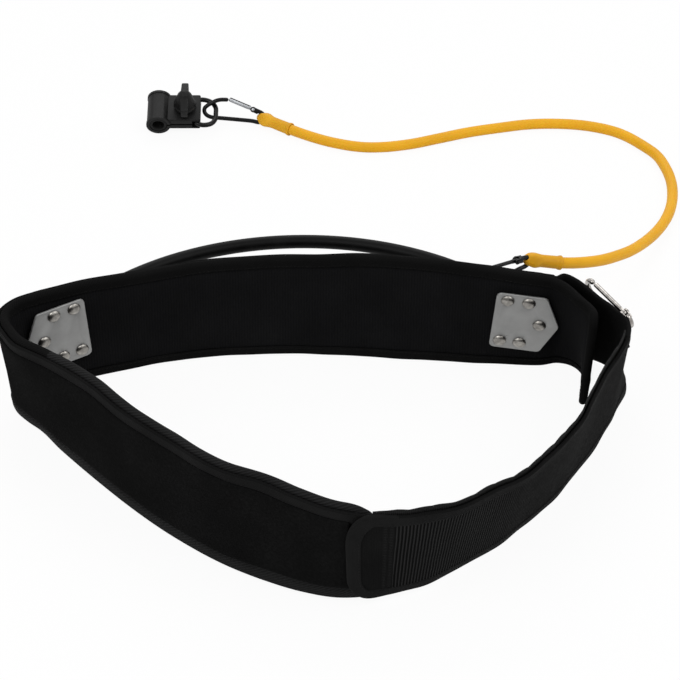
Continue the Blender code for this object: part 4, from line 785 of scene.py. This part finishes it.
def strapWave(s, heights, outward):
    # the free strap's unevenness, most along its edges: rise and fall of the edge, and in and out
    free = np.clip((s - 34.0) / 30.0, 0.0, 1.0) * np.clip((freeEnd - 40.0 - s) / 40.0, 0.0, 1.0)
    edge = np.clip(np.abs(heights - 50.0) / 12.0 - 2.9, 0.0, 1.0) * np.sign(heights - 50.0)
    return (heights + 1.5 * edge * free * ripple(1.6 * s, 20.0, 2.2),
            outward + (0.4 + 0.9 * np.abs(edge)) * free * ripple(1.3 * s, heights, 3.1))


def makeStrapPiece():
    # ribbed webbing with a sewn band along both edges, its end rounded at the closure
    low, high, half, rim = belt["strapLow"], belt["strapHigh"], belt["strapHalf"], np.array(belt["bandRim"])
    section = np.concatenate([rim + (low, 0.0), pairs(np.linspace(low + 10.5, high - 10.5, 24), half),
                              (rim * (-1.0, 1.0) + (high, 0.0))[::-1],
                              pairs(np.linspace(high - 0.6, low + 0.6, 12), -half)])
    lengths = endLengths(belt["tip"] + 1.2, strapEnd, belt["tipTop"][0] - 1.0, 0.0, belt["rows"] + 200)
    cut = [cornerCut(lengths - lengths[0], *(side - 1.0 for side in belt[name])) for name in ("tipLow", "tipTop")]

    # finish of each face by its row and its place round the section
    ribbed, binding, plain, smooth = range(4)
    s = lengths[1:]
    pick = np.full((len(s), len(section)), ribbed)
    pick[(s < belt["plainEnd"]) | (s > freeEnd - 20.0)] = plain
    edge = np.where(s < freeEnd + 60.0, smooth, binding)[:, None]
    pick[:, :6] = edge
    pick[:, 31:37] = smooth
    pick[:, 37:] = plain
    pick[:, -1:] = edge
    pick[s > strapEnd - belt["broadBand"], 6:9] = binding  # broader below the loop pile
    mesh = layerMesh(strap, lengths, section, low, high, ["ribWebbing", "bindingTape", "plainWebbing", "smoothTape"],
                     cut, pick, strapWave)
    piece = putObject("outerStrap", mesh, "belt", "outer_strap")


def makeClosureTape():
    # round the strap's tip: a straight tail, then a quarter oval at each corner, p = centre + (-a sin t, b cos t)
    low, high = belt["strapLow"] - 1.2, belt["strapHigh"] + 1.2
    runs = []
    for (along, up), edge, turn in ((belt["tipTop"], high, 1.0), (belt["tipLow"], low, -1.0)):
        t = np.radians(np.linspace(0.0, 90.0, 20))
        oval = pairs(along - along * np.sin(t), edge - turn * up * (1 - np.cos(t)))
        square = unit(pairs(np.sin(t) / along, -turn * np.cos(t) / up))
        tail = pairs(np.linspace(along + 12.0, along + 1.5, 12), edge)
        runs.append((np.concatenate([tail, oval]), np.concatenate([np.full((12, 2), (0.0, -turn)), square])))
    ends = high - belt["tipTop"][1] - 4.0, low + belt["tipLow"][1] + 4.0
    side = pairs(0.0, np.linspace(*ends, 8))
    path = np.concatenate([runs[0][0], side, runs[1][0][::-1]])
    inward = np.concatenate([runs[0][1], np.full((8, 2), (1.0, 0.0)), runs[1][1][::-1]])
    path[:, 0] += belt["tip"]
    section = foldSection(10.2, 2.2, 0.6, 1.7)
    ease = np.minimum(np.arange(len(path)), np.arange(len(path))[::-1]) / 10.0
    share = np.clip(ease, 0.0, 1.0)[:, None, None]
    flatter = section * (1.0, 0.78) + (0.9, 0.0)
    full, flat = (tapeGrid(strap, path, inward, part, 1.9, 0.12) for part in (section, flatter))
    cloth = clothMap(runLength(closed(path)), section)
    mesh = gridMesh(full * share + flat * (1 - share), ["smoothTape"], cloth=cloth)
    putObject("closureTape", mesh, "belt", "closure_end_tape")
    sew("closureStitches", strap, path[2:-2], inward[2:-2], stitch["closureIn"], 2.14)


makeStrapPiece()
makeClosureTape()

# hook tape inside the free strap, loop pile on the outside of the left arm
panels = {"hookFrom": 31.0, "hookTo": 322.0, "hookLow": 3.6, "hookHigh": 98.4, "hookThick": 1.2,
          "pileFrom": 352.0, "pileTo": 10.5, "pileLow": 15.8, "pileHigh": 89.2, "pileThick": 1.2}


def makePanels():
    start, low, high = panels["hookFrom"], panels["hookLow"], panels["hookHigh"]
    back = -belt["strapHalf"] - 0.5
    rows = np.linspace(start, panels["hookTo"], 420)
    section = twoFaces(np.linspace(low, high, 20), back - panels["hookThick"], back)

    def wavy(s, h, o):
        # upper edge in scallops |sin|, deepest near 205 mm, that rise and lean inwards unevenly
        h, o = strapWave(s, h, o)
        top = np.clip((h - 80.0) / 18.4, 0.0, 1.0) * np.clip((s - start) / 16.0, 0.0, 1.0)
        scallop = np.abs(np.sin(s / 4.9 + 1.4 * np.sin(s / 37.0))) - 0.5
        scallop = scallop * (1.0 + np.exp(-((s - 205.0) / 45.0)**2))
        h = h + top * (scallop * (1.0 + ripple(1.9 * s, 0.0, 2.6)) + 1.3 * ripple(2.1 * s, 10.0, 0.9) + 1.7)
        return h, o - 1.2 * top * (0.7 + 0.4 * ripple(2.0 * s, h, 2.0))

    putObject("hookPanel", layerMesh(strap, rows, section, low, high, ["hookTape"], wave=wavy), "belt", "hook_panel")
    low, high = panels["pileLow"], panels["pileHigh"]
    face = belt["strapOffset"] + belt["strapHalf"] + 0.5
    rows = np.linspace(padEnd - panels["pileFrom"], padEnd - panels["pileTo"], 220)
    crown = panels["pileThick"] - 0.5 * np.abs(np.linspace(-1.0, 1.0, 30))**14
    section = twoFaces(np.linspace(low, high, 30), face, face + crown)

    def soft(s, h, o):
        # only the two edges wander
        return h + 0.7 * ripple(1.3 * s, 5.0, 4.0) * np.sign(h - 50.0) * (np.abs(h - 50.0) > 32.0), o

    putObject("loopPanel", layerMesh(pad, rows, section, low, high, ["loopPile"], wave=soft), "belt", "loop_panel")


makePanels()
print("strap, closure and panels made")


def strapStitches():
    # two sewn lines along the strap's bands and two cross seams behind the closure's end
    lengths = np.linspace(50.0, strapEnd - 4.0, 900)
    for word, height, toward in (("Top", belt["strapHigh"], -1.0), ("Low", belt["strapLow"], 1.0)):
        sew("strapStitches" + word, strap, pairs(lengths, height), np.full((900, 2), (0.0, toward)),
            stitch["strapIn"], 1.66, wave=strapWave)
    for number, behind in enumerate(stitch["crossBehind"], 1):
        path = pairs(belt["tip"] + behind, np.linspace(*stitch["crossFrom"], 30))
        sew("crossSeam" + str(number), strap, path, np.zeros((30, 2)), 0.0, 1.22, stitch["crossGrain"], strapWave)


strapStitches()
print("stitches made")

rivet = {"head": 5.3, "dome": 2.6, "shank": 2.2, "tail": 3.9, "sides": 40}


def nodePoints(node):
    mesh = nodes[node].data
    points = np.empty(len(mesh.vertices) * 3)
    mesh.vertices.foreach_get("co", points)
    return np.unique(points.reshape(-1, 3).round(7), axis=0)


def makeRivets(side):
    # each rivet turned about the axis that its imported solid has, square to the plate: dome, shank, flat tail
    head, dome, shank, tail = (rivet[name] for name in ("head", "dome", "shank", "tail"))
    plate = nodePoints("backing_plate_" + side)
    normal = np.linalg.svd(plate - plate.mean(0), full_matrices=False)[2][2]
    t = np.radians(np.linspace(90.0, 12.0, 12))
    for number in range(1, 6):
        node = "rivet_%s_%d" % (side, number)
        points = nodePoints(node)
        centre = points.mean(0)
        run = (points - centre) @ normal
        wide = np.linalg.norm(points - centre - run[:, None] * normal, axis=1)
        facing = 1.0 if wide[run > 0].max() > wide[run < 0].max() else -1.0
        run, axis = run * facing, normal * facing
        top, low = run.max() * 1000, run.min() * 1000
        flat = top - dome
        cap = pairs(head * np.cos(t), flat + dome * (np.sin(t) - 0.08))
        rest = [(head, flat + 0.15), (head - 0.25, flat - 0.02), (shank, flat - 0.02), (shank, low + 1.1),
                (tail, low + 1.1), (tail, low + 0.6), (tail - 0.5, low + 0.15), (0.0, low)]
        grid = turnGrid(np.concatenate([cap, rest]), rivet["sides"])
        across = np.cross(axis, (0.0, 0.0, 1.0))
        across /= np.linalg.norm(across)
        axes = (across, np.cross(axis, across), axis)
        points = centre + sum(grid[..., k, None] * axes[k] for k in range(3)) * mm
        putSharp("rivet%s%d" % (side.title(), number), points, "nickelRivet", "belt", node)


for side in ("left", "right"):
    finishCopy("backing_plate_" + side, "platedSteel", "belt", "backingPlate" + side.title(), 0.00025)
    finishCopy("rail_bracket_" + side, "filledNylon", "belt", "railBracket" + side.title(), 0.0005)
for side in ("left", "right"):
    makeRivets(side)

# the rail's arc in plan, its radius as a rod, and where along it the hook hangs, in degrees
rail = {"centre": (-29.4, -147.6), "radius": 216.6, "height": 50.0, "wire": 5.6, "start": 38.0, "end": 142.0,
        "hook": 47.5}


def onRail(angle):
    # p(a) = centre + r (cos a, sin a), at one height
    x, y = rail["centre"]
    return np.stack([x + rail["radius"] * np.cos(angle), y + rail["radius"] * np.sin(angle),
                     np.full(np.shape(angle), rail["height"])], -1)


def makeRail():
    line, size = roundedEnds(onRail(np.radians(np.linspace(rail["start"], rail["end"], 180))), rail["wire"], 4)
    size = np.maximum(size, rail["wire"] * 0.75)
    putObject("slideRail", gridMesh((wireGrid(line, size, 28) + shift) * mm, ["railNylon"]), "belt", "slide_rail")


makeRail()
print("plates, rivets, brackets and rail made")

# spring hooks: a bent wire with a forked end, a gate on a pin
smallHook = {
    "wire": 1.88, "scale": 1.0, "size": 1.0, "hinge": (34.0, 6.4), "nose": (12.6, 10.9), "gateMore": 1.95,
    "outline": [(37.0, 5.6), (39.5, 5.6), (42.6, 4.6), (44.8, 2.6), (45.5, 0.0), (44.3, -2.6), (41.5, -3.9),
                (36.0, -3.9), (24.0, -4.9), (12.0, -6.1), (3.0, -7.0), (-2.5, -7.4), (-6.6, -6.3), (-9.2, -3.6),
                (-9.4, -0.6), (-7.3, 2.4), (-4.0, 5.2), (-0.6, 7.9), (3.0, 9.5), (7.0, 10.4), (10.5, 10.9)],
}
largeHook = {
    "wire": 2.2, "scale": 1.1, "size": 0.79, "hinge": (58.5, 8.4), "nose": (9.8, 13.9), "gateMore": 1.0,
    "outline": [(61.5, 7.6), (64.2, 6.4), (66.2, 3.2), (66.4, -1.0), (64.8, -4.6), (61.0, -6.8), (48.0, -8.4),
                (30.0, -10.2), (14.0, -11.9), (4.0, -12.8), (-2.5, -11.8), (-7.0, -8.2), (-8.8, -3.0), (-7.6, 3.0),
                (-3.6, 8.6), (2.0, 12.6), (7.0, 14.0)],
}

# the forked end, times the hook's scale: half widths of the fork and its slot, radii of eye, clearance, bore and pin
fork = {"cheek": 2.6, "slot": 1.35, "eye": 2.5, "clear": 3.1, "bore": 1.05, "pin": 0.75, "rim": 1.5, "rimTop": 1.3,
        "neckLong": 5.2, "neckHalf": 2.3, "tongue": 1.9, "tongueEnd": [(4.6, -1.5), (4.6, 1.5)],
        "gateFrom": 3.5, "gateShare": 0.88, "gateRoom": 0.35, "darkWire": 0.75, "darkWireOff": 1.55}


def makeHook(word, hook, matrix, bodies, nodeWord, finishes):
    # body, gate and pin of one hook in its own plane
    size, scale, wire = hook["size"], hook["scale"], hook["wire"]
    cheek, slot, pin, rim, rimTop = (fork[name] * scale for name in ("cheek", "slot", "pin", "rim", "rimTop"))
    hinge, nose = (np.array([hook[end][0] * size, hook[end][1] * size, 0.0]) for end in ("hinge", "nose"))
    up = np.array([0.0, 0.0, 1.0])

    def through(name, reach):
        # round bar through the hinge, square to the hook's plane
        return rod(matrix, fork[name] * scale, hinge - up * reach, hinge + up * reach)

    outline = [(u * size, v * size, 0.0) for u, v in hook["outline"]]
    coarse = smoothRoute(outline, 31)
    line, radius = roundedEnds(smoothRoute(outline, 150), wire)
    first = coarse[2] - hinge
    first /= np.linalg.norm(first)
    side = np.array([-first[1], first[0], 0.0])
    long, half = fork["neckLong"] * scale, fork["neckHalf"] * scale
    neck = [hinge + first * a + side * b + up * c
            for a in (0.0, long) for b in (-half, half) for c in (-cheek, cheek)]
    mesh = carve(gridMesh(place(matrix, wireGrid(line, radius, 22))),
                 [hull(place(matrix, neck), 0.0004), through("eye", cheek)],
                 [through("clear", slot), through("bore", cheek * 2)], 0.00012, 45.0, finishes[0])
    putObject(word + "Hook", mesh, bodies[0], nodeWord + "_body")

    reach = float(np.linalg.norm(nose - hinge))
    way = (nose - hinge) / reach
    across = np.array([-way[1], way[0], 0.0])
    bar = hinge + way * np.linspace(fork["gateFrom"] * scale, reach + hook["gateMore"], 40)[:, None]
    bar, radius = roundedEnds(bar, wire * fork["gateShare"], 4)
    thick = slot - fork["gateRoom"] * scale
    angle = np.radians(np.linspace(100.0, 260.0, 9))
    tongue = [(fork["tongue"] * math.cos(a), fork["tongue"] * math.sin(a)) for a in angle] + fork["tongueEnd"]
    tongue = [hinge + way * a * scale + across * b * scale + up * c for a, b in tongue for c in (-thick, thick)]
    mesh = carve(gridMesh(place(matrix, wireGrid(bar, radius, 22))), [hull(place(matrix, tongue))],
                 [through("bore", cheek)], 0.0001, 45.0, finishes[1])
    putObject(word + "Gate", mesh, bodies[1], nodeWord + "_gate")
    if finishes[0] != finishes[1]:  # a bright gate gets a thin dark wire along its inner side, standing for its dark lower edge
        darkLine = hinge + way * np.linspace(2.5, reach + 1.5, 30)[:, None] - across * fork["darkWireOff"]
        darkLine = wireGrid(*roundedEnds(darkLine, fork["darkWire"], 3), 10)
        mesh = gridMesh(place(matrix, darkLine), [finishes[0]])
        putObject(word + "GateDarkWire", mesh, bodies[1])
    low = cheek + 0.25
    half = [(pin, low), (rim, low), (rimTop, low + 0.45), (0.0, low + 0.6)]
    profile = roundCorners([(r, -z) for r, z in half[::-1]] + half, 0.15)
    putSharp(word + "Pin", place(matrix, turnGrid(profile, 28) + hinge), finishes[1], bodies[0], nodeWord + "_pin")
    return coarse


farOrigin = np.array([-113.4, 336.0, 14.5])
farMatrix = axesAt(farOrigin, np.array(tube["farHole"]) - farOrigin, (0.0, 0.5, 0.866))
farLine = makeHook("clubSnap", smallHook, farMatrix, ("tube_line", "club_gate"), "club_snap",
                   ("blackCoat", "satinAluminium"))

turn = math.radians(rail["hook"])
railPoint = onRail(turn)
reachNear = np.array(tube["nearHole"]) - railPoint
nearAxis = reachNear / np.linalg.norm(reachNear)
nearUp = np.cross(nearAxis, (-math.sin(turn), math.cos(turn), 0.0))
nearUp = nearUp * (1.0 if nearUp[2] > 0 else -1.0)
nearOrigin = railPoint - nearAxis * 3.4 - nearUp * 0.85  # the wire's bow clasps the rail
nearMatrix = axesAt(nearOrigin, np.array(tube["nearHole"]) - nearOrigin, nearUp)
nearLine = makeHook("railSnap", smallHook, nearMatrix, ("tube_line", "rail_gate"), "rail_snap",
                    ("blackCoat", "blackCoat"))

sideAlong, sideUp = np.array([0.5, -0.866, 0.0]), np.array([-0.273, -0.144, 0.951])
gateMiddle, inOutline = (208.8, -69.8, 90.6), (34.0, 11.2)  # of the large hook, in the drawing and in its outline
sideOrigin = gateMiddle - sideAlong * inOutline[0] * largeHook["size"] - sideUp * inOutline[1] * largeHook["size"]
sideMatrix = axesAt(sideOrigin, sideAlong, sideUp)
makeHook("sideSnap", largeHook, sideMatrix, ("side_hook", "side_gate"), "side_snap",
         ("polishedSteel", "polishedSteel"))
print("spring hooks made")

cuff = {
    # radius and distance from the hole, then radius and distance back from the mouth: collar, raised lip, socket
    "eye": [(0.0, -6.8), (1.2, -6.6), (2.4, -6.0), (4.0, -4.4), (5.3, -2.2), (6.1, 0.4), (6.4, 2.6), (6.3, 4.6),
            (5.8, 7.0), (5.4, 9.4), (5.35, 12.0)],
    "collar": [(5.5, 3.2), (5.95, 2.6), (6.05, 0.5), (5.7, 0.0), (5.0, 0.0), (5.0, 5.0), (0.0, 5.0)],
    "squareTurn": 22.0, "squareTo": 9.0, "dent": 0.05, "wireGap": 0.5,
}


def makeCuff(word, hole, mouth, line, matrix, node):
    # moulded sleeve: a rounded eye on the hook's wire running down to a collar with a raised lip round the tube
    axis = np.array(mouth, float) - np.array(hole, float)
    length = float(np.linalg.norm(axis))
    profile = roundCorners(cuff["eye"] + [(r, length - back) for r, back in cuff["collar"]], 0.5)
    z = Vector(axis).normalized()
    x = Vector((0.0, 0.0, 1.0)).cross(z).normalized()
    turned = Matrix((x, z.cross(x), z)).transposed().to_4x4()
    turned.translation = Vector(hole)
    grid = turnGrid(profile, 64)
    # squarer towards the hook and a little dented: p = r (|cos|^n + |sin|^n)^(-1/n), n from 4.2 to 2
    angle = np.arctan2(grid[..., 1], grid[..., 0]) + math.radians(cuff["squareTurn"])
    low = np.clip((grid[..., 2] - cuff["squareTo"]) / -cuff["squareTo"], 0.0, 1.0)
    power = 2.0 + 2.2 * low
    square = (np.abs(np.cos(angle))**power + np.abs(np.sin(angle))**power) ** (-1 / power)
    dents = 1.0 - cuff["dent"] * low * (1 + ripple(6.0 * grid[..., 2], 9.0 * angle, 1.7))
    outside = (grid[..., 2] < length - 2.0) & (np.hypot(grid[..., 0], grid[..., 1]) > 5.2)
    grid[..., :2] = grid[..., :2] * np.where(outside, 0.97 * square * dents, 1.0)[..., None]
    passage = place(matrix, wireGrid(line[1:18], smallHook["wire"] + cuff["wireGap"], 24))
    mesh = carve(gridMesh(place(turned, grid)), [], [link("helper", gridMesh(passage))], 0.0002, 40.0, "mouldedLatex")
    putObject(word + "Cuff", mesh, "tube_line", node)


makeCuff("far", tube["farHole"], tube["route"][0], farLine, farMatrix, "far_cuff")
makeCuff("near", tube["nearHole"], tube["route"][-1], nearLine, nearMatrix, "near_cuff")

keeper = {"at": (30.0, -10.2, 0.0), "turn": 5.9, "half": 8.5, "long": 34.0, "neck": 4.6,
          "face": 1.2, "loop": 4.2, "bore": 2.9}


def makeKeeper():
    # folded webbing tab, a loop at its head round the large hook's wire
    at = sideMatrix @ Matrix.Translation(Vector(keeper["at"]) * largeHook["size"])
    at = at @ Matrix.Rotation(math.radians(keeper["turn"]), 4, "Z")
    angle = np.radians(np.linspace(-62.0, 242.0, 40))
    loop = pairs(keeper["loop"] * np.cos(angle), keeper["loop"] * np.sin(angle))
    run = np.linspace(-keeper["long"], -keeper["neck"], 14)
    outline = np.concatenate([pairs(keeper["face"], run), loop, pairs(-keeper["face"], run)[::-1]])
    across = np.linspace(-keeper["half"], keeper["half"], 24)
    grid = np.stack(np.broadcast_arrays(across[:, None], outline[None, :, 1], outline[None, :, 0]), -1)
    mesh = gridMesh(place(at, grid), ["bindingTape"], cloth=clothMap(np.append(across, across[-1]), outline))
    bore = rod(at, keeper["bore"], (-12.0, 0.0, 0.0), (12.0, 0.0, 0.0), 32)
    putObject("snapKeeper", carve(mesh, [], [bore], 0.0, 50.0, "bindingTape"), "belt", "snap_keeper")


makeKeeper()
print("cuffs and keeper made")

# clamp for the club shaft; wings and lobes: half widths across and along, lowest and highest
clamp = {
    "centre": (-164.0, 330.8, 15.3), "tilt": 17.0, "length": 33.0, "radius": 10.9, "waist": 10.45, "rim": 2.4,
    "bore": 8.0, "reach": 37.7, "half": 6.0, "wide": 15.5, "slot": 0.8, "slotFrom": 6.5, "screwHole": 2.9,
    "ringRoom": 2.5, "ringSide": 17.4, "notch": 4.2, "notchFrom": 10.0, "knobBore": 2.8,
    "linerOuter": 7.7, "linerInner": 5.3, "linerHalf": 16.3,
    "knobAt": 24.0, "screw": 2.5, "pivot": 33.0, "ringWire": 2.2, "ringTurn": 7.5,
    "wings": [(3.4, 6.0, 8.8, 23.2), (3.1, 17.2, 11.4, 19.8)],
    "lobes": [(10.2, 2.6, 7.4, 12.2), (7.0, 3.2, 7.2, 17.0)],
    "knob": [(0.0, 6.3), (9.3, 6.3), (9.7, 6.9), (9.7, 9.2), (8.8, 10.2), (8.6, 13.4), (8.0, 17.6), (6.4, 22.0),
             (3.8, 25.6), (0.0, 27.0)],
    "ring": [(33.0, -9.0), (33.0, 0.0), (33.0, 9.0), (34.3, 13.2), (38.0, 15.0), (43.0, 14.8), (48.2, 12.2),
             (51.2, 7.0), (51.6, 0.0), (51.2, -7.0), (48.2, -12.2), (43.0, -14.8), (38.0, -15.0), (34.3, -13.2)],
}


def makeClamp():
    # split barrel with a block for the screw; notches in the block let the ring in and out
    tilt = math.radians(clamp["tilt"])
    at = axesAt(clamp["centre"], (1.0, 0.0, 0.0), (0.0, math.cos(tilt), math.sin(tilt)))
    half, reach, wide, pivot = clamp["length"] / 2, clamp["reach"], clamp["wide"], clamp["pivot"]
    knobAt, high, slot = clamp["knobAt"], clamp["half"], clamp["slot"]
    room, side, notch = clamp["ringRoom"], clamp["ringSide"], clamp["notch"]
    rims = [rod(at, clamp["radius"], (0, a, 0), (0, b, 0), 96)
            for a, b in ((-half - 0.01, clamp["rim"] - half), (half - clamp["rim"], half + 0.01))]
    cut = [rod(at, clamp["bore"], (0, -20, 0), (0, 20, 0), 96),
           box(at, (clamp["slotFrom"], -20, -slot), (reach + 2, 20, slot)),
           rod(at, clamp["screwHole"], (knobAt, 0, -12), (knobAt, 0, 12)),
           box(at, (pivot - room, -side, -room), (pivot + room, side, room)),
           box(at, (pivot - room, -side, -notch), (reach + 2, -clamp["notchFrom"], notch)),
           box(at, (pivot - room, clamp["notchFrom"], -notch), (reach + 2, side, notch))]
    block = box(at, (0.0, -wide, -high), (reach, wide, high), 0.0014, 4)
    mesh = gridMesh(rodPoints(at, clamp["waist"], (0, -half, 0), (0, half, 0), 96))
    mesh = carve(mesh, rims + [block], cut, 0.0005, 30.0, "filledNylon")
    putObject("shaftClamp", mesh, "clamp", "shaft_clamp")
    inner, outer, end = clamp["linerInner"], clamp["linerOuter"], clamp["linerHalf"]
    profile = [(inner, 0.0), (inner, -end), (outer, -end), (outer, end), (inner, end), (inner, 0.1)]
    profile = roundCorners(profile, 0.6)
    turned = at @ Matrix.Rotation(math.radians(90), 4, "X")
    putSharp("clampLiner", place(turned, turnGrid(profile, 72)), "linerRubber", "clamp", "clamp_liner", ringed=True)
    finishCopy("clamp_nut", "zincScrew", "clamp", "clampNut", 0.0003)

    knobMatrix = at @ Matrix.Translation(Vector((knobAt, 0.0, 0.0)))
    thin = clamp["screw"]
    profile = roundCorners([(0.0, -10.9), (2.0, -10.9), (thin, -10.4), (thin, 13.6), (2.2, 14.0), (0.0, 14.0)], 0.2)
    putSharp("clampScrew", place(knobMatrix, turnGrid(profile, 40)), "zincScrew", "clamp", "clamp_screw")
    mesh = gridMesh(place(knobMatrix, turnGrid(roundCorners(clamp["knob"], 0.9), 72)))

    def boxed(name, ease):
        sizes = [boxPoints(knobMatrix, (-x, -y, low), (x, y, top)) for x, y, low, top in clamp[name]]
        return hull(np.concatenate(sizes), ease, 3)

    mesh = carve(mesh, [boxed("wings", 0.001), boxed("lobes", 0.0012)],
                 [rod(knobMatrix, clamp["knobBore"], (0, 0, 2), (0, 0, 14.4))], 0.0004, 40.0, "filledNylon")
    putObject("wingKnob", mesh, "wing", "wing_knob")

    line = smoothRoute([(x - pivot, y, 0.0) for x, y in clamp["ring"]], 120, True)
    ringMatrix = at @ Matrix.Translation(Vector((pivot, 0.0, 0.0)))
    ringMatrix = ringMatrix @ Matrix.Rotation(math.radians(clamp["ringTurn"]), 4, "Y")
    mesh = gridMesh(place(ringMatrix, wireGrid(line, clamp["ringWire"], 20, True)), ["blackCoat"], True)
    putObject("clampRing", mesh, "tube_line", "d_ring")


makeClamp()
print("clamp, ring and knob made")

# pale floor, even sky and three soft lamps
studio = {"floor": "#f2f2f2", "whiteShare": 0.93, "skyStrength": 0.55, "floorHalf": 6.0, "floorLow": -0.0002,
          # place, aim, width, power in watts
          "lamps": [((-1.1, -1.2, 1.9), (0.0, 0.1, 0.0), 1.4, 20.0), ((1.3, -0.5, 1.7), (0.0, 0.15, 0.0), 1.2, 14.0),
                    ((0.0, 1.6, 1.6), (0.0, 0.2, 0.0), 1.4, 11.0)]}
white = (1.0, 1.0, 1.0, 1.0)


def cameraRays(tree):
    # 1 where the camera, a mirror or clear stuff looks at the surface
    share = 0.0
    for ray in ("Is Camera Ray", "Is Glossy Ray", "Is Transmission Ray"):
        seen = addNode(tree, "LightPath", output=ray)
        share = addNode(tree, "Math", {"operation": "MAXIMUM"}, {0: share, 1: seen})
    return share


def makeStudio():
    material, tree, shader = startMaterial("paleFloor", {"Roughness": 0.95, "Specular IOR Level": 0.0})
    shader.inputs["Base Color"].default_value = tint(studio["floor"])
    glow = addNode(tree, "Emission", None, {"Color": white, "Strength": 1.0})
    share = addNode(tree, "Math", {"operation": "MULTIPLY"}, {0: cameraRays(tree), 1: studio["whiteShare"]})
    mix = addNode(tree, "MixShader", None, {0: share, 1: shader.outputs[0], 2: glow})
    tree.links.new(mix, tree.nodes["Material Output"].inputs[0])
    mesh = bpy.data.meshes.new("floor")
    corners = [(x * studio["floorHalf"], y * studio["floorHalf"], studio["floorLow"])
               for x, y in ((-1, -1), (1, -1), (1, 1), (-1, 1))]
    mesh.from_pydata(corners, [], [(0, 1, 2, 3)])
    mesh.materials.append(material)
    link("floor", mesh)
    world = bpy.data.worlds.new("studio")
    bpy.context.scene.world = world
    world.use_nodes = True
    tree = world.node_tree
    sky = tree.nodes["Background"]
    sky.inputs[0].default_value = white
    strength = addNode(tree, "Math", {"operation": "MULTIPLY_ADD"},
                       {0: cameraRays(tree), 1: 1.0 - studio["skyStrength"], 2: studio["skyStrength"]})
    tree.links.new(strength, sky.inputs[1])
    for number, (spot, target, wide, power) in enumerate(studio["lamps"], 1):
        light = bpy.data.lights.new("lamp" + str(number), "AREA")
        light.shape, light.size, light.energy = "SQUARE", wide, power
        aim(link("lamp" + str(number), light), spot, target)
    bpy.context.scene.view_settings.view_transform = "Standard"


makeStudio()
print("studio lit")
